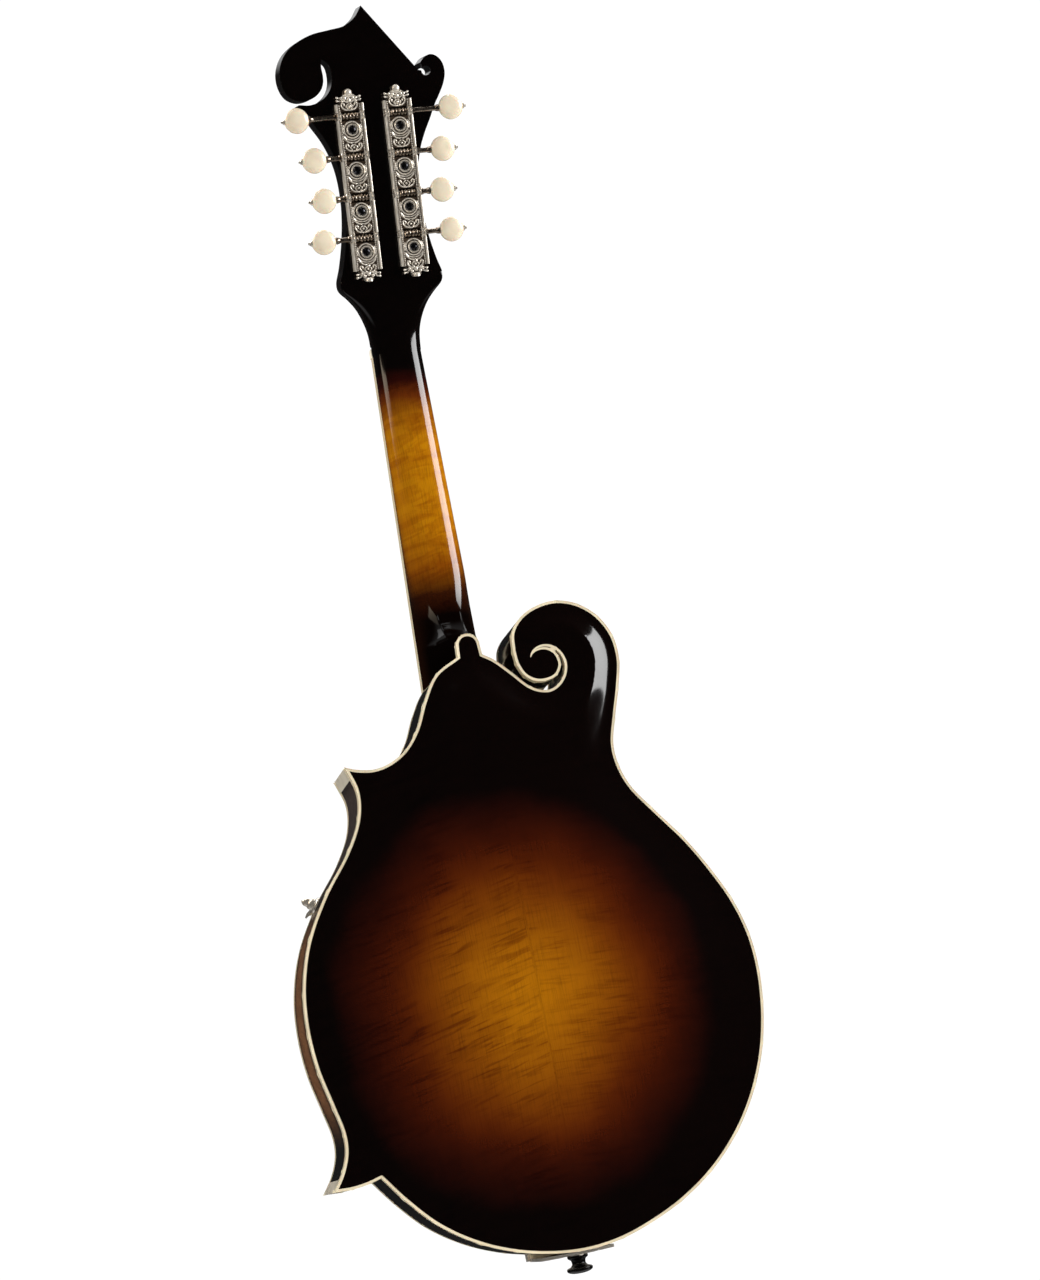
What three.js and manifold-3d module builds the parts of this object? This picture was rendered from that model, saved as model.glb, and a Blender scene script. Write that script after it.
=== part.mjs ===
// Carved mandolin with a scroll, two body points and an arched back, at full size in millimetres.
//
// Frame: +Z runs up the neck from the tail to the headstock, -Y is the front (strings and soundboard),
// +Y is the back, +X is the treble side. The origin is on the centre line at the end face of the end
// pin, halfway through the depth of the rim.
import * as THREE from 'three';
import { mergeVertices } from 'three/addons/utils/BufferGeometryUtils.js';
import Module from 'manifold-3d';

const wasm = await Module();
wasm.setup();

// ---------------------------------------------------------------- driving dimensions (mm)

const SCALE_LENGTH = 353;        // nut to bridge
const FRET_COUNT = 29;
const GLUE_GAP = 0.3;            // between pieces that are glued or screwed together
const RUN_GAP = 0.3;             // between a turning piece and what it turns in

const TAIL_Z = 12;               // tail edge of the body above the origin
const EDGE_Y = 22.8;             // outer face of the plate edges, both sides of the rim's middle
const RIM_Y = 18.2;              // glue faces of the ribs
const RIB_THICKNESS = 2.4;
const LINING_DEPTH = 3.2;        // linings stand this far in from the ribs
const LINING_HEIGHT = 7;
const BINDING_THICKNESS = 1.5;
const BACK_ARCH = 10.5;          // rise of the back above its edge
const TOP_ARCH = 12.4;           // rise of the soundboard above its edge
const PLATE_THICKNESS = 4.2;     // at the middle of each plate

const NUT_Z = 536;               // where the fingerboard meets the nut
const NUT_Y = -21.3;             // playing surface at the nut
const NECK_ANGLE = THREE.MathUtils.degToRad(5.1);
const HEAD_ANGLE = THREE.MathUtils.degToRad(20.9);
const FINGERBOARD_THICKNESS = 6;
const NUT_HALF_WIDTH = 14.3;
const JOINT_HALF_WIDTH = 18.6;   // neck half width where it meets the body
const NECK_LENGTH = 204.6;       // nut to the fifteenth fret, at the body
const HEEL_BUTTON_RADIUS = 6.6;
const HEEL_BUTTON_Z = 347.4;

const HEAD_BACK = 18.2;          // back face of the headstock behind the nut's playing level
const HEAD_WOOD_FRONT = 5.3;
const OVERLAY_FRONT = 3.2;
const POST_ROW_X = 14.1;         // tuner posts stand this far from the centre line
const POST_PITCH = 23.2;
const POST_RADIUS = 3;
const GEAR_RADIUS = 5.8;
const POST_END_RADIUS = 3.5;     // ring of a post where it shows through its plate
const SHAFT_RADIUS = 1.5;        // worm shafts
const PIN_RADIUS = 1.1;          // worm shafts where they pass through their buttons
const FIRST_POST = 62.6;         // first post, measured up the headstock from the nut
const WORM_RISE = 7.9;           // each worm sits this far above its post
const WORM_Y = 21.2;             // worm axis behind the nut's playing level
const BUTTON_X = [38, 35, 38, 45.4];   // button centres from the centre line, from the nut upwards
const BUTTON_RADIUS = 7.2;
const BUTTON_HALF_THICKNESS = 3.8;

const BRIDGE_Z = NUT_Z - SCALE_LENGTH * Math.cos(NECK_ANGLE);
const SADDLE_TOP_Y = -55.2;
const SADDLE_BOTTOM_Y = -47.2;
const WHEEL_X = 31;

// String places from bass to treble at the nut, the saddle and the tailpiece, and the string radii.
const NUT_STRINGS = [-11.4, -9.3, -4.5, -2.4, 2.4, 4.5, 9.3, 11.4];
const SADDLE_STRINGS = [-20, -17, -7.6, -4.7, 4.7, 7.6, 17, 20];
const HOOK_STRINGS = [-15.4, -11, -6.6, -2.2, 2.2, 6.6, 11, 15.4];
const STRING_RADII = [0.5, 0.5, 0.33, 0.33, 0.2, 0.2, 0.14, 0.14];
// The post each string winds on, counted up from the nut on its own side.
const STRING_POSTS = [0, 1, 2, 3, 3, 2, 1, 0];
// Height at which each post's string winds, so that neighbouring strings pass one another.
const WINDING_Y = [-1.5, -5, -2.5, -5.5];

// ---------------------------------------------------------------- materials

function paint(color, roughness, metalness) {
  return new THREE.MeshStandardMaterial({ color, roughness, metalness });
}

const sunburstMaple = () => paint(0x6b3208, 0.12, 0);
const darkMaple = () => paint(0x1a0d08, 0.15, 0);
const spruce = () => paint(0x7a3d0c, 0.2, 0);
const ebony = () => paint(0x0d0b0b, 0.4, 0);
const cream = () => paint(0xe6d3a9, 0.35, 0);
const rawWood = () => paint(0xb08a58, 0.7, 0);
const nickel = () => paint(0xc9c2b6, 0.22, 1);
const steel = () => paint(0x8f8c88, 0.35, 1);
const blackPlastic = () => paint(0x0b0b0c, 0.25, 0);
const bone = () => paint(0xeae0c6, 0.45, 0);
const bronze = () => paint(0xa6824b, 0.35, 1);

// ---------------------------------------------------------------- solids

/** A three.js geometry as a manifold solid. */
function solidOf(geometry) {
  const bare = geometry.clone();
  bare.deleteAttribute('normal');
  bare.deleteAttribute('uv');
  const merged = mergeVertices(bare, 1e-4);
  return new wasm.Manifold(new wasm.Mesh({
    numProp: 3,
    vertProperties: Float32Array.from(merged.attributes.position.array),
    triVerts: Uint32Array.from(merged.index.array),
  }));
}

/** A manifold solid as a three.js geometry. */
function geometryOf(solid) {
  const mesh = solid.getMesh();
  const geometry = new THREE.BufferGeometry();
  geometry.setAttribute('position', new THREE.BufferAttribute(Float32Array.from(mesh.vertProperties), 3));
  geometry.setIndex(Array.from(mesh.triVerts));
  geometry.computeVertexNormals();
  return geometry;
}

/** An outline in X and Z made into a solid between two Y values. */
function prism(points, lowY, highY) {
  const geometry = new THREE.ExtrudeGeometry(new THREE.Shape(points), {
    depth: highY - lowY,
    bevelEnabled: false,
  });
  geometry.rotateX(Math.PI / 2);
  geometry.translate(0, highY, 0);
  return solidOf(geometry);
}

/** A profile in Z and Y made into a solid that runs across X, centred on x. */
function crossBar(profile, width, x = 0) {
  const points = profile.map(([z, y]) => new THREE.Vector2(z, y));
  const geometry = new THREE.ExtrudeGeometry(new THREE.Shape(points), { depth: width, bevelEnabled: false });
  geometry.rotateY(-Math.PI / 2);
  geometry.translate(x + width / 2, 0, 0);
  return solidOf(geometry);
}

/** A block given by its lowest and highest corners. */
function block(low, high) {
  const size = new THREE.Vector3(high[0] - low[0], high[1] - low[1], high[2] - low[2]);
  const geometry = new THREE.BoxGeometry(size.x, size.y, size.z);
  geometry.translate(low[0] + size.x / 2, low[1] + size.y / 2, low[2] + size.z / 2);
  return solidOf(geometry);
}

/** A turned piece: the profile is a list of [radius, place along the axis], and axis is 'x', 'y' or 'z'. */
function turned(profile, axis, at = [0, 0, 0], segments = 16) {
  const points = profile.map(([radius, along]) => new THREE.Vector2(radius, along));
  const geometry = new THREE.LatheGeometry(points, segments);
  if (axis === 'x') {
    geometry.rotateZ(-Math.PI / 2);
  }
  if (axis === 'z') {
    geometry.rotateX(Math.PI / 2);
  }
  geometry.translate(...at);
  return solidOf(geometry);
}

/** A plain round rod from one place to another along an axis. */
function rod(radius, from, to, axis, at, segments = 16) {
  return turned([[0, from], [radius, from], [radius, to], [0, to]], axis, at, segments);
}

/** Rings of points, anticlockwise seen from the last ring, joined into one closed solid. */
function loft(rings) {
  const count = rings[0].length;
  const vertices = rings.flat();
  const faces = [];
  for (let r = 0; r + 1 < rings.length; r += 1) {
    for (let i = 0; i < count; i += 1) {
      const a = r * count + i;
      const b = r * count + ((i + 1) % count);
      faces.push(a, b, b + count, a, b + count, a + count);
    }
  }
  for (let i = 1; i + 1 < count; i += 1) {
    const last = (rings.length - 1) * count;
    faces.push(0, i + 1, i);
    faces.push(last, last + i, last + i + 1);
  }
  const geometry = new THREE.BufferGeometry();
  geometry.setAttribute('position', new THREE.Float32BufferAttribute(vertices.flat(), 3));
  geometry.setIndex(faces);
  return solidOf(geometry);
}

// ---------------------------------------------------------------- body outline

/** Points along a smooth curve through the given [x, z] places, without the last one. */
function smooth(places, stepsPerSpan) {
  const curve = new THREE.CatmullRomCurve3(places.map(([x, z]) => new THREE.Vector3(x, z, 0)));
  curve.curveType = 'centripetal';
  const steps = (places.length - 1) * stepsPerSpan;
  const points = [];
  for (let i = 0; i < steps; i += 1) {
    const point = curve.getPoint(i / steps);
    points.push(new THREE.Vector2(point.x, point.y));
  }
  return points;
}

const LOWER_TIP = [127, 67];
const UPPER_TIP = [81, 289.5];
const NOTCH = [101, 69.5];
const TREBLE_ROOT = [7, 341.5];
const BASS_ROOT = [-7, 341];
const SLOT_END = [-48.4, 337.4];

/** Lower point: its underside, from the notch out to the tip. */
function lowerPointUnderside() {
  return smooth([NOTCH, [108, 67.7], [117, 66.6], LOWER_TIP], 1);
}

/** Treble side, from the tip of the lower point up to the tip of the upper point. */
function trebleSide() {
  return smooth([LOWER_TIP, [121, 76], [117.2, 86], [116.8, 96], [120, 111], [124.5, 131], [126.2, 152],
    [124.5, 174], [117.5, 198], [104, 222], [88, 243], [79, 260], [76.8, 275], UPPER_TIP], 2);
}

/** Treble shoulder, from the upper point to the heel. */
function trebleShoulder() {
  return smooth([UPPER_TIP, [73.5, 287], [65, 286], [56, 288], [46, 294], [37.5, 304.5], [30, 320],
    [21, 333.5], TREBLE_ROOT], 2);
}

/** Bass shoulder, from the heel round the outer side of the scroll's slot to the slot's end. */
function bassShoulder() {
  return smooth([BASS_ROOT, [-13, 337], [-22, 328], [-30, 319.4], [-36, 316.1], [-42, 315.5], [-47.6, 318.4],
    [-51.5, 323.5], [-52.8, 329.5], [-51.6, 334.4], [-49.2, 337.8]], 1);
}

/** Inner side of the slot, from its end back out round the scroll's eye. */
function scrollEye() {
  return smooth([SLOT_END, [-50.2, 333.4], [-50.6, 328.5], [-47.2, 323], [-41, 320.8], [-34.4, 321.5],
    [-29, 325.3], [-25.8, 332], [-24.9, 340]], 1);
}

/** Bass side, from the scroll round the lower bout to the notch. */
function bassSide() {
  return smooth([[-24.9, 340], [-26.5, 351], [-33, 359], [-43, 364], [-55, 365.5], [-67, 361.8], [-77, 353.5],
    [-83.5, 341], [-84.6, 327], [-81, 311.5], [-75.5, 294.5], [-71.2, 279], [-71.8, 267], [-76, 254.5],
    [-87, 238.5], [-101, 219.5], [-112, 200.5], [-121, 181], [-126, 162], [-127.3, 143], [-125.2, 121],
    [-119.5, 98.5], [-110, 77.5], [-96.5, 58], [-79, 41], [-59, 28], [-38, 19], [-19, 13.7], [0, TAIL_Z],
    [19, 13.9], [38, 18.7], [57, 27], [75, 39.3], [89.5, 54.5], NOTCH], 1);
}

/** The heel button that the back plate carries over the end of the neck heel. */
function heelButton() {
  const points = [new THREE.Vector2(...TREBLE_ROOT)];
  const steps = 8;
  for (let i = 0; i <= steps; i += 1) {
    const angle = Math.PI * i / steps;
    points.push(new THREE.Vector2(
      HEEL_BUTTON_RADIUS * Math.cos(angle),
      HEEL_BUTTON_Z + HEEL_BUTTON_RADIUS * Math.sin(angle),
    ));
  }
  return points;
}

/** The body outline, anticlockwise seen with +X to the right and +Z up. */
function bodyOutline(withButton) {
  const heel = withButton ? heelButton() : [new THREE.Vector2(...TREBLE_ROOT)];
  return [...lowerPointUnderside(), ...trebleSide(), ...trebleShoulder(), ...heel, ...bassShoulder(),
    ...scrollEye(), ...bassSide()];
}

/** Distance from a place to a closed outline. */
function distanceTo(points, place) {
  let nearest = Infinity;
  for (let i = 0; i < points.length; i += 1) {
    const a = points[i];
    const b = points[(i + 1) % points.length];
    const span = b.clone().sub(a);
    const t = THREE.MathUtils.clamp(place.clone().sub(a).dot(span) / span.lengthSq(), 0, 1);
    nearest = Math.min(nearest, place.distanceTo(a.clone().addScaledVector(span, t)));
  }
  return nearest;
}

/** The outline moved inwards by a distance, or outwards if it is negative, without loops at tight bends. */
function inset(points, distance) {
  const mitreLimit = 0.35;
  const closest = 0.96 * Math.abs(distance);
  const offset = points.map((point, i) => {
    const before = points[(i + points.length - 1) % points.length];
    const after = points[(i + 1) % points.length];
    const a = point.clone().sub(before).normalize();
    const b = after.clone().sub(point).normalize();
    const normal = new THREE.Vector2(-(a.y + b.y), a.x + b.x).normalize();
    const reach = Math.max(mitreLimit, normal.dot(new THREE.Vector2(-a.y, a.x)));
    return point.clone().addScaledVector(normal, distance / reach);
  });
  return offset.filter((point) => distanceTo(points, point) > closest);
}

const OUTLINE = bodyOutline(false);
const BACK_OUTLINE = bodyOutline(true);

// ---------------------------------------------------------------- arching

/** Whether a place is inside an outline. */
function isInside(points, x, z) {
  let inside = false;
  for (let i = 0, j = points.length - 1; i < points.length; j = i, i += 1) {
    const a = points[i];
    const b = points[j];
    if ((a.y > z) !== (b.y > z) && x < a.x + (b.x - a.x) * (z - a.y) / (b.y - a.y)) {
      inside = !inside;
    }
  }
  return inside;
}

const FIELD_LOW = [-132, 6];
const FIELD_PITCH = 6;
const FIELD_SIZE = [45, 62];

/** A membrane over the outline, held at its edge and pushed up evenly: 0 at the edge, 1 at its highest. */
function membrane(points) {
  const [columns, rows] = FIELD_SIZE;
  const inside = [];
  for (let j = 0; j < rows; j += 1) {
    for (let i = 0; i < columns; i += 1) {
      inside.push(isInside(points, FIELD_LOW[0] + i * FIELD_PITCH, FIELD_LOW[1] + j * FIELD_PITCH));
    }
  }
  const height = new Float64Array(columns * rows);
  const passes = 500;
  const relaxation = 1.8;
  for (let pass = 0; pass < passes; pass += 1) {
    for (let k = columns; k < height.length - columns; k += 1) {
      if (inside[k]) {
        const target = (height[k - 1] + height[k + 1] + height[k - columns] + height[k + columns] + 1) / 4;
        height[k] += relaxation * (target - height[k]);
      }
    }
  }
  const highest = Math.max(...height);
  return (x, z) => {
    const u = Math.min(columns - 1.001, Math.max(0, (x - FIELD_LOW[0]) / FIELD_PITCH));
    const v = Math.min(rows - 1.001, Math.max(0, (z - FIELD_LOW[1]) / FIELD_PITCH));
    const i = Math.floor(u);
    const j = Math.floor(v);
    const k = j * columns + i;
    const low = height[k] * (1 - u + i) + height[k + 1] * (u - i);
    const high = height[k + columns] * (1 - u + i) + height[k + columns + 1] * (u - i);
    return (low * (1 - v + j) + high * (v - j)) / highest;
  };
}

const bulge = membrane(OUTLINE);

/** Carved arching from 0 at the edge to 1 at the crown, with a shallow channel along the edge. */
function arching(t) {
  return 0.35 * t + 0.65 * t * t * (3 - 2 * t);
}

/** Outer surface of a plate above the rim's middle. */
function outerHeight(x, z, rise) {
  return EDGE_Y + rise * arching(bulge(x, z));
}

/** Inner surface of a plate above the rim's middle: flat over the linings, hollow within them. */
function innerHeight(x, z, rise) {
  const flat = 0.09;
  const t = Math.max(0, bulge(x, z) - flat) / (1 - flat);
  const hollow = EDGE_Y + rise - PLATE_THICKNESS - RIM_Y - GLUE_GAP / 2;
  return RIM_Y + GLUE_GAP / 2 + hollow * arching(t);
}

/** A sheet over the whole body between two height functions, on one side of the rim. */
function heightSheet(lowHeight, highHeight, side) {
  const pitch = 16;
  const columns = 18;
  const rows = 24;
  const faces = [];
  const vertices = [];
  for (const height of [lowHeight, highHeight]) {
    for (let j = 0; j < rows; j += 1) {
      for (let i = 0; i < columns; i += 1) {
        const x = FIELD_LOW[0] + i * pitch;
        const z = FIELD_LOW[1] + j * pitch;
        vertices.push(x, side * height(x, z), z);
      }
    }
  }
  const layer = columns * rows;
  const quad = (a, b, c, d) => faces.push(a, b, c, a, c, d);
  for (let j = 0; j + 1 < rows; j += 1) {
    for (let i = 0; i + 1 < columns; i += 1) {
      const k = j * columns + i;
      quad(k, k + 1, k + 1 + columns, k + columns);
      quad(layer + k, layer + k + columns, layer + k + 1 + columns, layer + k + 1);
    }
  }
  for (let i = 0; i + 1 < columns; i += 1) {
    const top = (rows - 1) * columns + i;
    quad(i, layer + i, layer + i + 1, i + 1);
    quad(top, top + 1, layer + top + 1, layer + top);
  }
  for (let j = 0; j + 1 < rows; j += 1) {
    const left = j * columns;
    const right = left + columns - 1;
    quad(left, left + columns, layer + left + columns, layer + left);
    quad(right, layer + right, layer + right + columns, right + columns);
  }
  if (side < 0) {
    for (let f = 0; f < faces.length; f += 3) {
      [faces[f + 1], faces[f + 2]] = [faces[f + 2], faces[f + 1]];
    }
  }
  const geometry = new THREE.BufferGeometry();
  geometry.setAttribute('position', new THREE.Float32BufferAttribute(vertices, 3));
  geometry.setIndex(faces);
  return solidOf(geometry);
}

// ---------------------------------------------------------------- body pieces

const TAIL_BORE = 3.9;
const tailBore = () => rod(TAIL_BORE + RUN_GAP, 0, 32, 'z', [0, 0, 0]);

/** The cream caps stand on the blunt ends of the two body points, across the depth of the ribs. */
const CAPS = [
  { name: 'upper_point_cap', tip: UPPER_TIP, direction: [-0.35, -0.94], depth: 7 },
  { name: 'lower_point_cap', tip: LOWER_TIP, direction: [-0.93, 0.36], depth: 6 },
];

/** A block that takes in the end of a body point, back to a depth from its tip. */
function pointRegion(cap, depth) {
  const reach = 14;
  const [dx, dz] = cap.direction;
  const tip = new THREE.Vector2(...cap.tip);
  const along = new THREE.Vector2(dx, dz);
  const across = new THREE.Vector2(-dz, dx);
  const corner = (s, t) => tip.clone().addScaledVector(along, s).addScaledVector(across, t);
  return prism([corner(depth, -reach), corner(depth, reach), corner(-reach, reach), corner(-reach, -reach)],
    -RIM_Y, RIM_Y);
}

function pointCap(cap) {
  return prism(OUTLINE, -RIM_Y, RIM_Y).intersect(pointRegion(cap, cap.depth));
}

/** Ribs with the linings along both glue faces and solid blocks behind the two points. */
function rim() {
  const liningY = RIM_Y - LINING_HEIGHT;
  const ribs = inset(OUTLINE, RIB_THICKNESS);
  const linings = inset(OUTLINE, RIB_THICKNESS + LINING_DEPTH).filter((point, i) => i % 2 === 0);
  const pointBlocks = pointRegion(CAPS[0], 26).add(pointRegion(CAPS[1], 22));
  const hollow = prism(ribs, -liningY, liningY)
    .add(prism(linings, -RIM_Y - 1, RIM_Y + 1))
    .subtract(pointBlocks);
  const caps = CAPS.map((cap) => pointRegion(cap, cap.depth + GLUE_GAP));
  return prism(OUTLINE, -RIM_Y, RIM_Y)
    .subtract(hollow)
    .subtract(headBlockSpace())
    .subtract(tailBlockSpace())
    .subtract(caps[0])
    .subtract(caps[1])
    .subtract(tailBore());
}

/** Where the linings stop so that the head block reaches the ribs. */
function headBlockSpace() {
  return prism(inset(OUTLINE, RIB_THICKNESS), -RIM_Y - 1, RIM_Y + 1).intersect(headBlockReach(0));
}

function tailBlockSpace() {
  return prism(inset(OUTLINE, RIB_THICKNESS), -RIM_Y - 1, RIM_Y + 1).intersect(tailBlockReach(0));
}

/** The head block fills the neck joint and the scroll; gap draws its inner edge back. */
function headBlockReach(gap) {
  const edge = [[-100, 318], [-60, 309], [-34, 297], [-22, 300], [26, 303], [30, 345], [30, 380],
    [-100, 380]];
  return prism(edge.map(([x, z]) => new THREE.Vector2(x > 0 ? x - gap : x, z < 340 ? z + gap : z)),
    -RIM_Y - 2, RIM_Y + 2);
}

function headBlock() {
  return prism(inset(OUTLINE, RIB_THICKNESS + GLUE_GAP), -RIM_Y, RIM_Y).intersect(headBlockReach(GLUE_GAP));
}

function tailBlockReach(gap) {
  return block([-27 + gap, -RIM_Y - 2, 0], [27 - gap, RIM_Y + 2, 32 - gap]);
}

function tailBlock() {
  return prism(inset(OUTLINE, RIB_THICKNESS + GLUE_GAP), -RIM_Y, RIM_Y)
    .intersect(tailBlockReach(GLUE_GAP))
    .subtract(tailBore());
}

/** Binding round the edge of a plate, on one side of the rim. */
function binding(outline, side) {
  const low = RIM_Y + GLUE_GAP / 2;
  const span = side > 0 ? [low, EDGE_Y] : [-EDGE_Y, -low];
  return prism(outline, ...span).subtract(prism(inset(outline, BINDING_THICKNESS), span[0] - 1, span[1] + 1));
}

/** Everything inside a plate's binding, from deep in the body to well outside it. */
function plateBounds(outline) {
  return prism(inset(outline, BINDING_THICKNESS + GLUE_GAP), -60, 60);
}

function backPlate() {
  const shell = heightSheet(
    (x, z) => innerHeight(x, z, BACK_ARCH),
    (x, z) => outerHeight(x, z, BACK_ARCH),
    1,
  );
  return shell.intersect(plateBounds(BACK_OUTLINE));
}

/** One f-hole: a slanting S with a round eye at each end, mirrored by side. */
function soundHole(side) {
  const line = [[39, 206], [46, 213], [50, 206], [49, 192], [52, 175], [58, 158], [60, 142], [66, 137],
    [71, 144]];
  const halfWidth = 2.1;
  const centre = smooth(line, 2);
  const leftEdge = inset(centre, halfWidth).slice(1, -1);
  const rightEdge = inset(centre, -halfWidth).slice(1, -1);
  const strip = [...leftEdge, ...rightEdge.reverse()];
  const eyes = [[40.5, 203.5, 4.6], [69.5, 146.5, 5.4]];
  let hole = prism(strip, -60, 0);
  for (const [x, z, radius] of eyes) {
    hole = hole.add(rod(radius, -60, 0, 'y', [x, 0, z], 14));
  }
  return side > 0 ? hole : hole.mirror([1, 0, 0]);
}

/** Soundboard with two f-holes and the two tone bars that are glued along its inside. */
function topPlate() {
  const barDepth = 17;
  const shell = heightSheet(
    (x, z) => innerHeight(x, z, TOP_ARCH),
    (x, z) => outerHeight(x, z, TOP_ARCH),
    -1,
  );
  const underside = heightSheet(
    (x, z) => Math.max(0, innerHeight(x, z, TOP_ARCH) - 6),
    (x, z) => outerHeight(x, z, TOP_ARCH) - 1,
    -1,
  );
  const bars = block([22, -60, 75], [27, -barDepth, 250]).add(block([-27, -60, 75], [-22, -barDepth, 250]));
  return shell
    .add(underside.intersect(bars))
    .intersect(plateBounds(OUTLINE))
    .subtract(soundHole(1))
    .subtract(soundHole(-1));
}

// ---------------------------------------------------------------- neck and headstock

/** Half width of the neck and fingerboard at a distance from the nut towards the body. */
function neckHalfWidth(distance) {
  return NUT_HALF_WIDTH + (JOINT_HALF_WIDTH - NUT_HALF_WIDTH) * distance / NECK_LENGTH;
}

/** Place along the string direction of a fret, as a distance from the nut. */
function fretDistance(fret) {
  return SCALE_LENGTH * (1 - 2 ** (-fret / 12));
}

/** Depth behind the playing level of the face of the ribs under the heel button. */
function heelDepth(distance) {
  return (RIM_Y - 0.1 - NUT_Y + distance * Math.sin(NECK_ANGLE)) / Math.cos(NECK_ANGLE);
}

const HEEL_START = 132;
const HEEL_FACE = 178;

/** Depth of the neck's back behind the playing level. */
function neckDepth(distance) {
  const shaft = 18.6 + 0.018 * distance;
  if (distance < HEEL_START) {
    return shaft;
  }
  const t = Math.min(1, (distance - HEEL_START) / (HEEL_FACE - HEEL_START));
  const sweep = 1 - Math.sqrt(Math.max(0, 1 - t ** 3.2));
  return shaft + (heelDepth(distance) - shaft) * sweep;
}

/** One section of the neck: a D on the shaft, drawn in to the width of the button at the heel. */
function neckRing(distance) {
  const half = neckHalfWidth(distance);
  const front = FINGERBOARD_THICKNESS + GLUE_GAP;
  const depth = neckDepth(distance) - front;
  const t = Math.min(1, Math.max(0, (distance - HEEL_START) / (HEEL_FACE - HEEL_START)));
  const heelness = t * t * (3 - 2 * t);
  const ring = [];
  const steps = 12;
  const buttonHalf = HEEL_BUTTON_RADIUS - 0.2;
  for (let i = 0; i <= steps; i += 1) {
    const angle = Math.PI * i / steps;
    const roundX = half * Math.sign(Math.cos(angle)) * Math.abs(Math.cos(angle)) ** 0.75;
    const down = Math.sin(angle) ** 0.85;
    const edge = Math.cos(angle) >= 0 ? 1 : -1;
    const taper = half + (buttonHalf - half) * down ** 1.2;
    const heelX = edge * Math.min(Math.abs(roundX) * 1.6, taper);
    ring.push([roundX + (heelX - roundX) * heelness, front + depth * down, -distance]);
  }
  return ring;
}

const placeNeck = new THREE.Matrix4().makeTranslation(0, NUT_Y, NUT_Z)
  .multiply(new THREE.Matrix4().makeRotationX(-NECK_ANGLE));
const placeHead = new THREE.Matrix4().makeTranslation(0, NUT_Y, NUT_Z)
  .multiply(new THREE.Matrix4().makeRotationX(-HEAD_ANGLE));

/** The same place matrix in the column order that a manifold solid takes. */
function moved(solid, matrix) {
  const e = matrix.elements;
  return solid.transform([...e]);
}

/** Point of the neck's own frame in the part's frame. */
function neckPoint(x, y, z) {
  return new THREE.Vector3(x, y, z).applyMatrix4(placeNeck);
}

/** Point of the headstock's own frame in the part's frame. */
function headPoint(x, y, z) {
  return new THREE.Vector3(x, y, z).applyMatrix4(placeHead);
}

/** Half of the headstock's lower edge, on the treble side, from the nut up to the slit or the curl. */
function headFlank(side, top) {
  const places = [[14.4, 0], [15.2, 14], [17.6, 23], [21, 30.5], [25, 36], [29.8, 41.5], [30.4, 46],
    [27.9, 54.5], [25.2, 66], [22.9, 81], [22.2, 93], [23.2, 108], [26, 119.5], [29.6, 128], ...top];
  return smooth(places.map(([x, v]) => [x * side, v]), 1);
}

/** Round eye between the crown and the small curl, open to the outside through a narrow mouth. */
function curlEye() {
  const centre = [-34, 162];
  const radius = 2.7;
  const steps = 9;
  const points = [];
  for (let i = 0; i <= steps; i += 1) {
    const angle = THREE.MathUtils.degToRad(5 - 320 * i / steps);
    const x = centre[0] + radius * Math.cos(angle);
    const v = centre[1] + radius * Math.sin(angle);
    points.push(new THREE.Vector2(x, v));
  }
  return points;
}

/** Outline of the headstock, seen from the front: a pointed crown, a big scroll and a small curl. */
function headOutline() {
  const hornTip = [42.3, 149];
  const treble = headFlank(1, [[35, 137], hornTip]);
  const slit = smooth([hornTip, [35.5, 148.4], [28.8, 150.6], [24.7, 154.2], [22.3, 158.8], [21.7, 164.8],
    [22.8, 170.2], [26, 173.4]], 1);
  const hook = smooth([[26.6, 173.2], [27, 169], [26.6, 164.5], [26.8, 160.6], [28.4, 156.6], [31.8, 153.2],
    [36.6, 151.2], [42, 151], [47.6, 153.9], [51, 160.4], [51.3, 168.8], [47.8, 177], [41, 183],
    [31, 187.5], [20, 189.4], [11, 191], [4.5, 195.2], [0, 201.5]], 1);
  const crown = [new THREE.Vector2(0, 201.5), new THREE.Vector2(-29.4, 162.8)];
  const curl = smooth([[-31, 166.8], [-34, 169.8], [-37.6, 171], [-41.2, 169.6], [-44, 166], [-45, 160.5],
    [-43.6, 154.5], [-40.6, 148.6], [-37, 142.6], [-33.6, 135.6], [-29.6, 128]], 1);
  const bassFlank = headFlank(-1, []).reverse();
  return [...treble, ...slit, ...hook, ...crown, ...curlEye(), ...curl, ...bassFlank];
}

/** The four post places of one side, as distances up the headstock. */
const POSTS = [0, 1, 2, 3].map((i) => FIRST_POST + i * POST_PITCH);

/** Holes for all eight posts, in the headstock's frame. */
function postHoles() {
  const hole = (x, v) => rod(POST_RADIUS + RUN_GAP, -15, 30, 'y', [x, 0, v], 10);
  const holes = POSTS.flatMap((v) => [hole(-POST_ROW_X, v), hole(POST_ROW_X, v)]);
  return holes.reduce((all, next) => all.add(next));
}

const SHOULDER_CLEARANCE = 1.4;   // between the neck's underside and the soundboard at the joint
const ROD_DEPTH = 11.5;          // truss rod axis behind the playing level
const NUT_POCKET = [[-4.2, -5, 7.5], [4.2, 11.4, 27]];

/** Head wood in the headstock's frame, with the post holes and the pocket for the rod's nut. */
function headWood() {
  return prism(headOutline(), HEAD_WOOD_FRONT, HEAD_BACK)
    .subtract(postHoles())
    .subtract(block(...NUT_POCKET));
}

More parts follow.
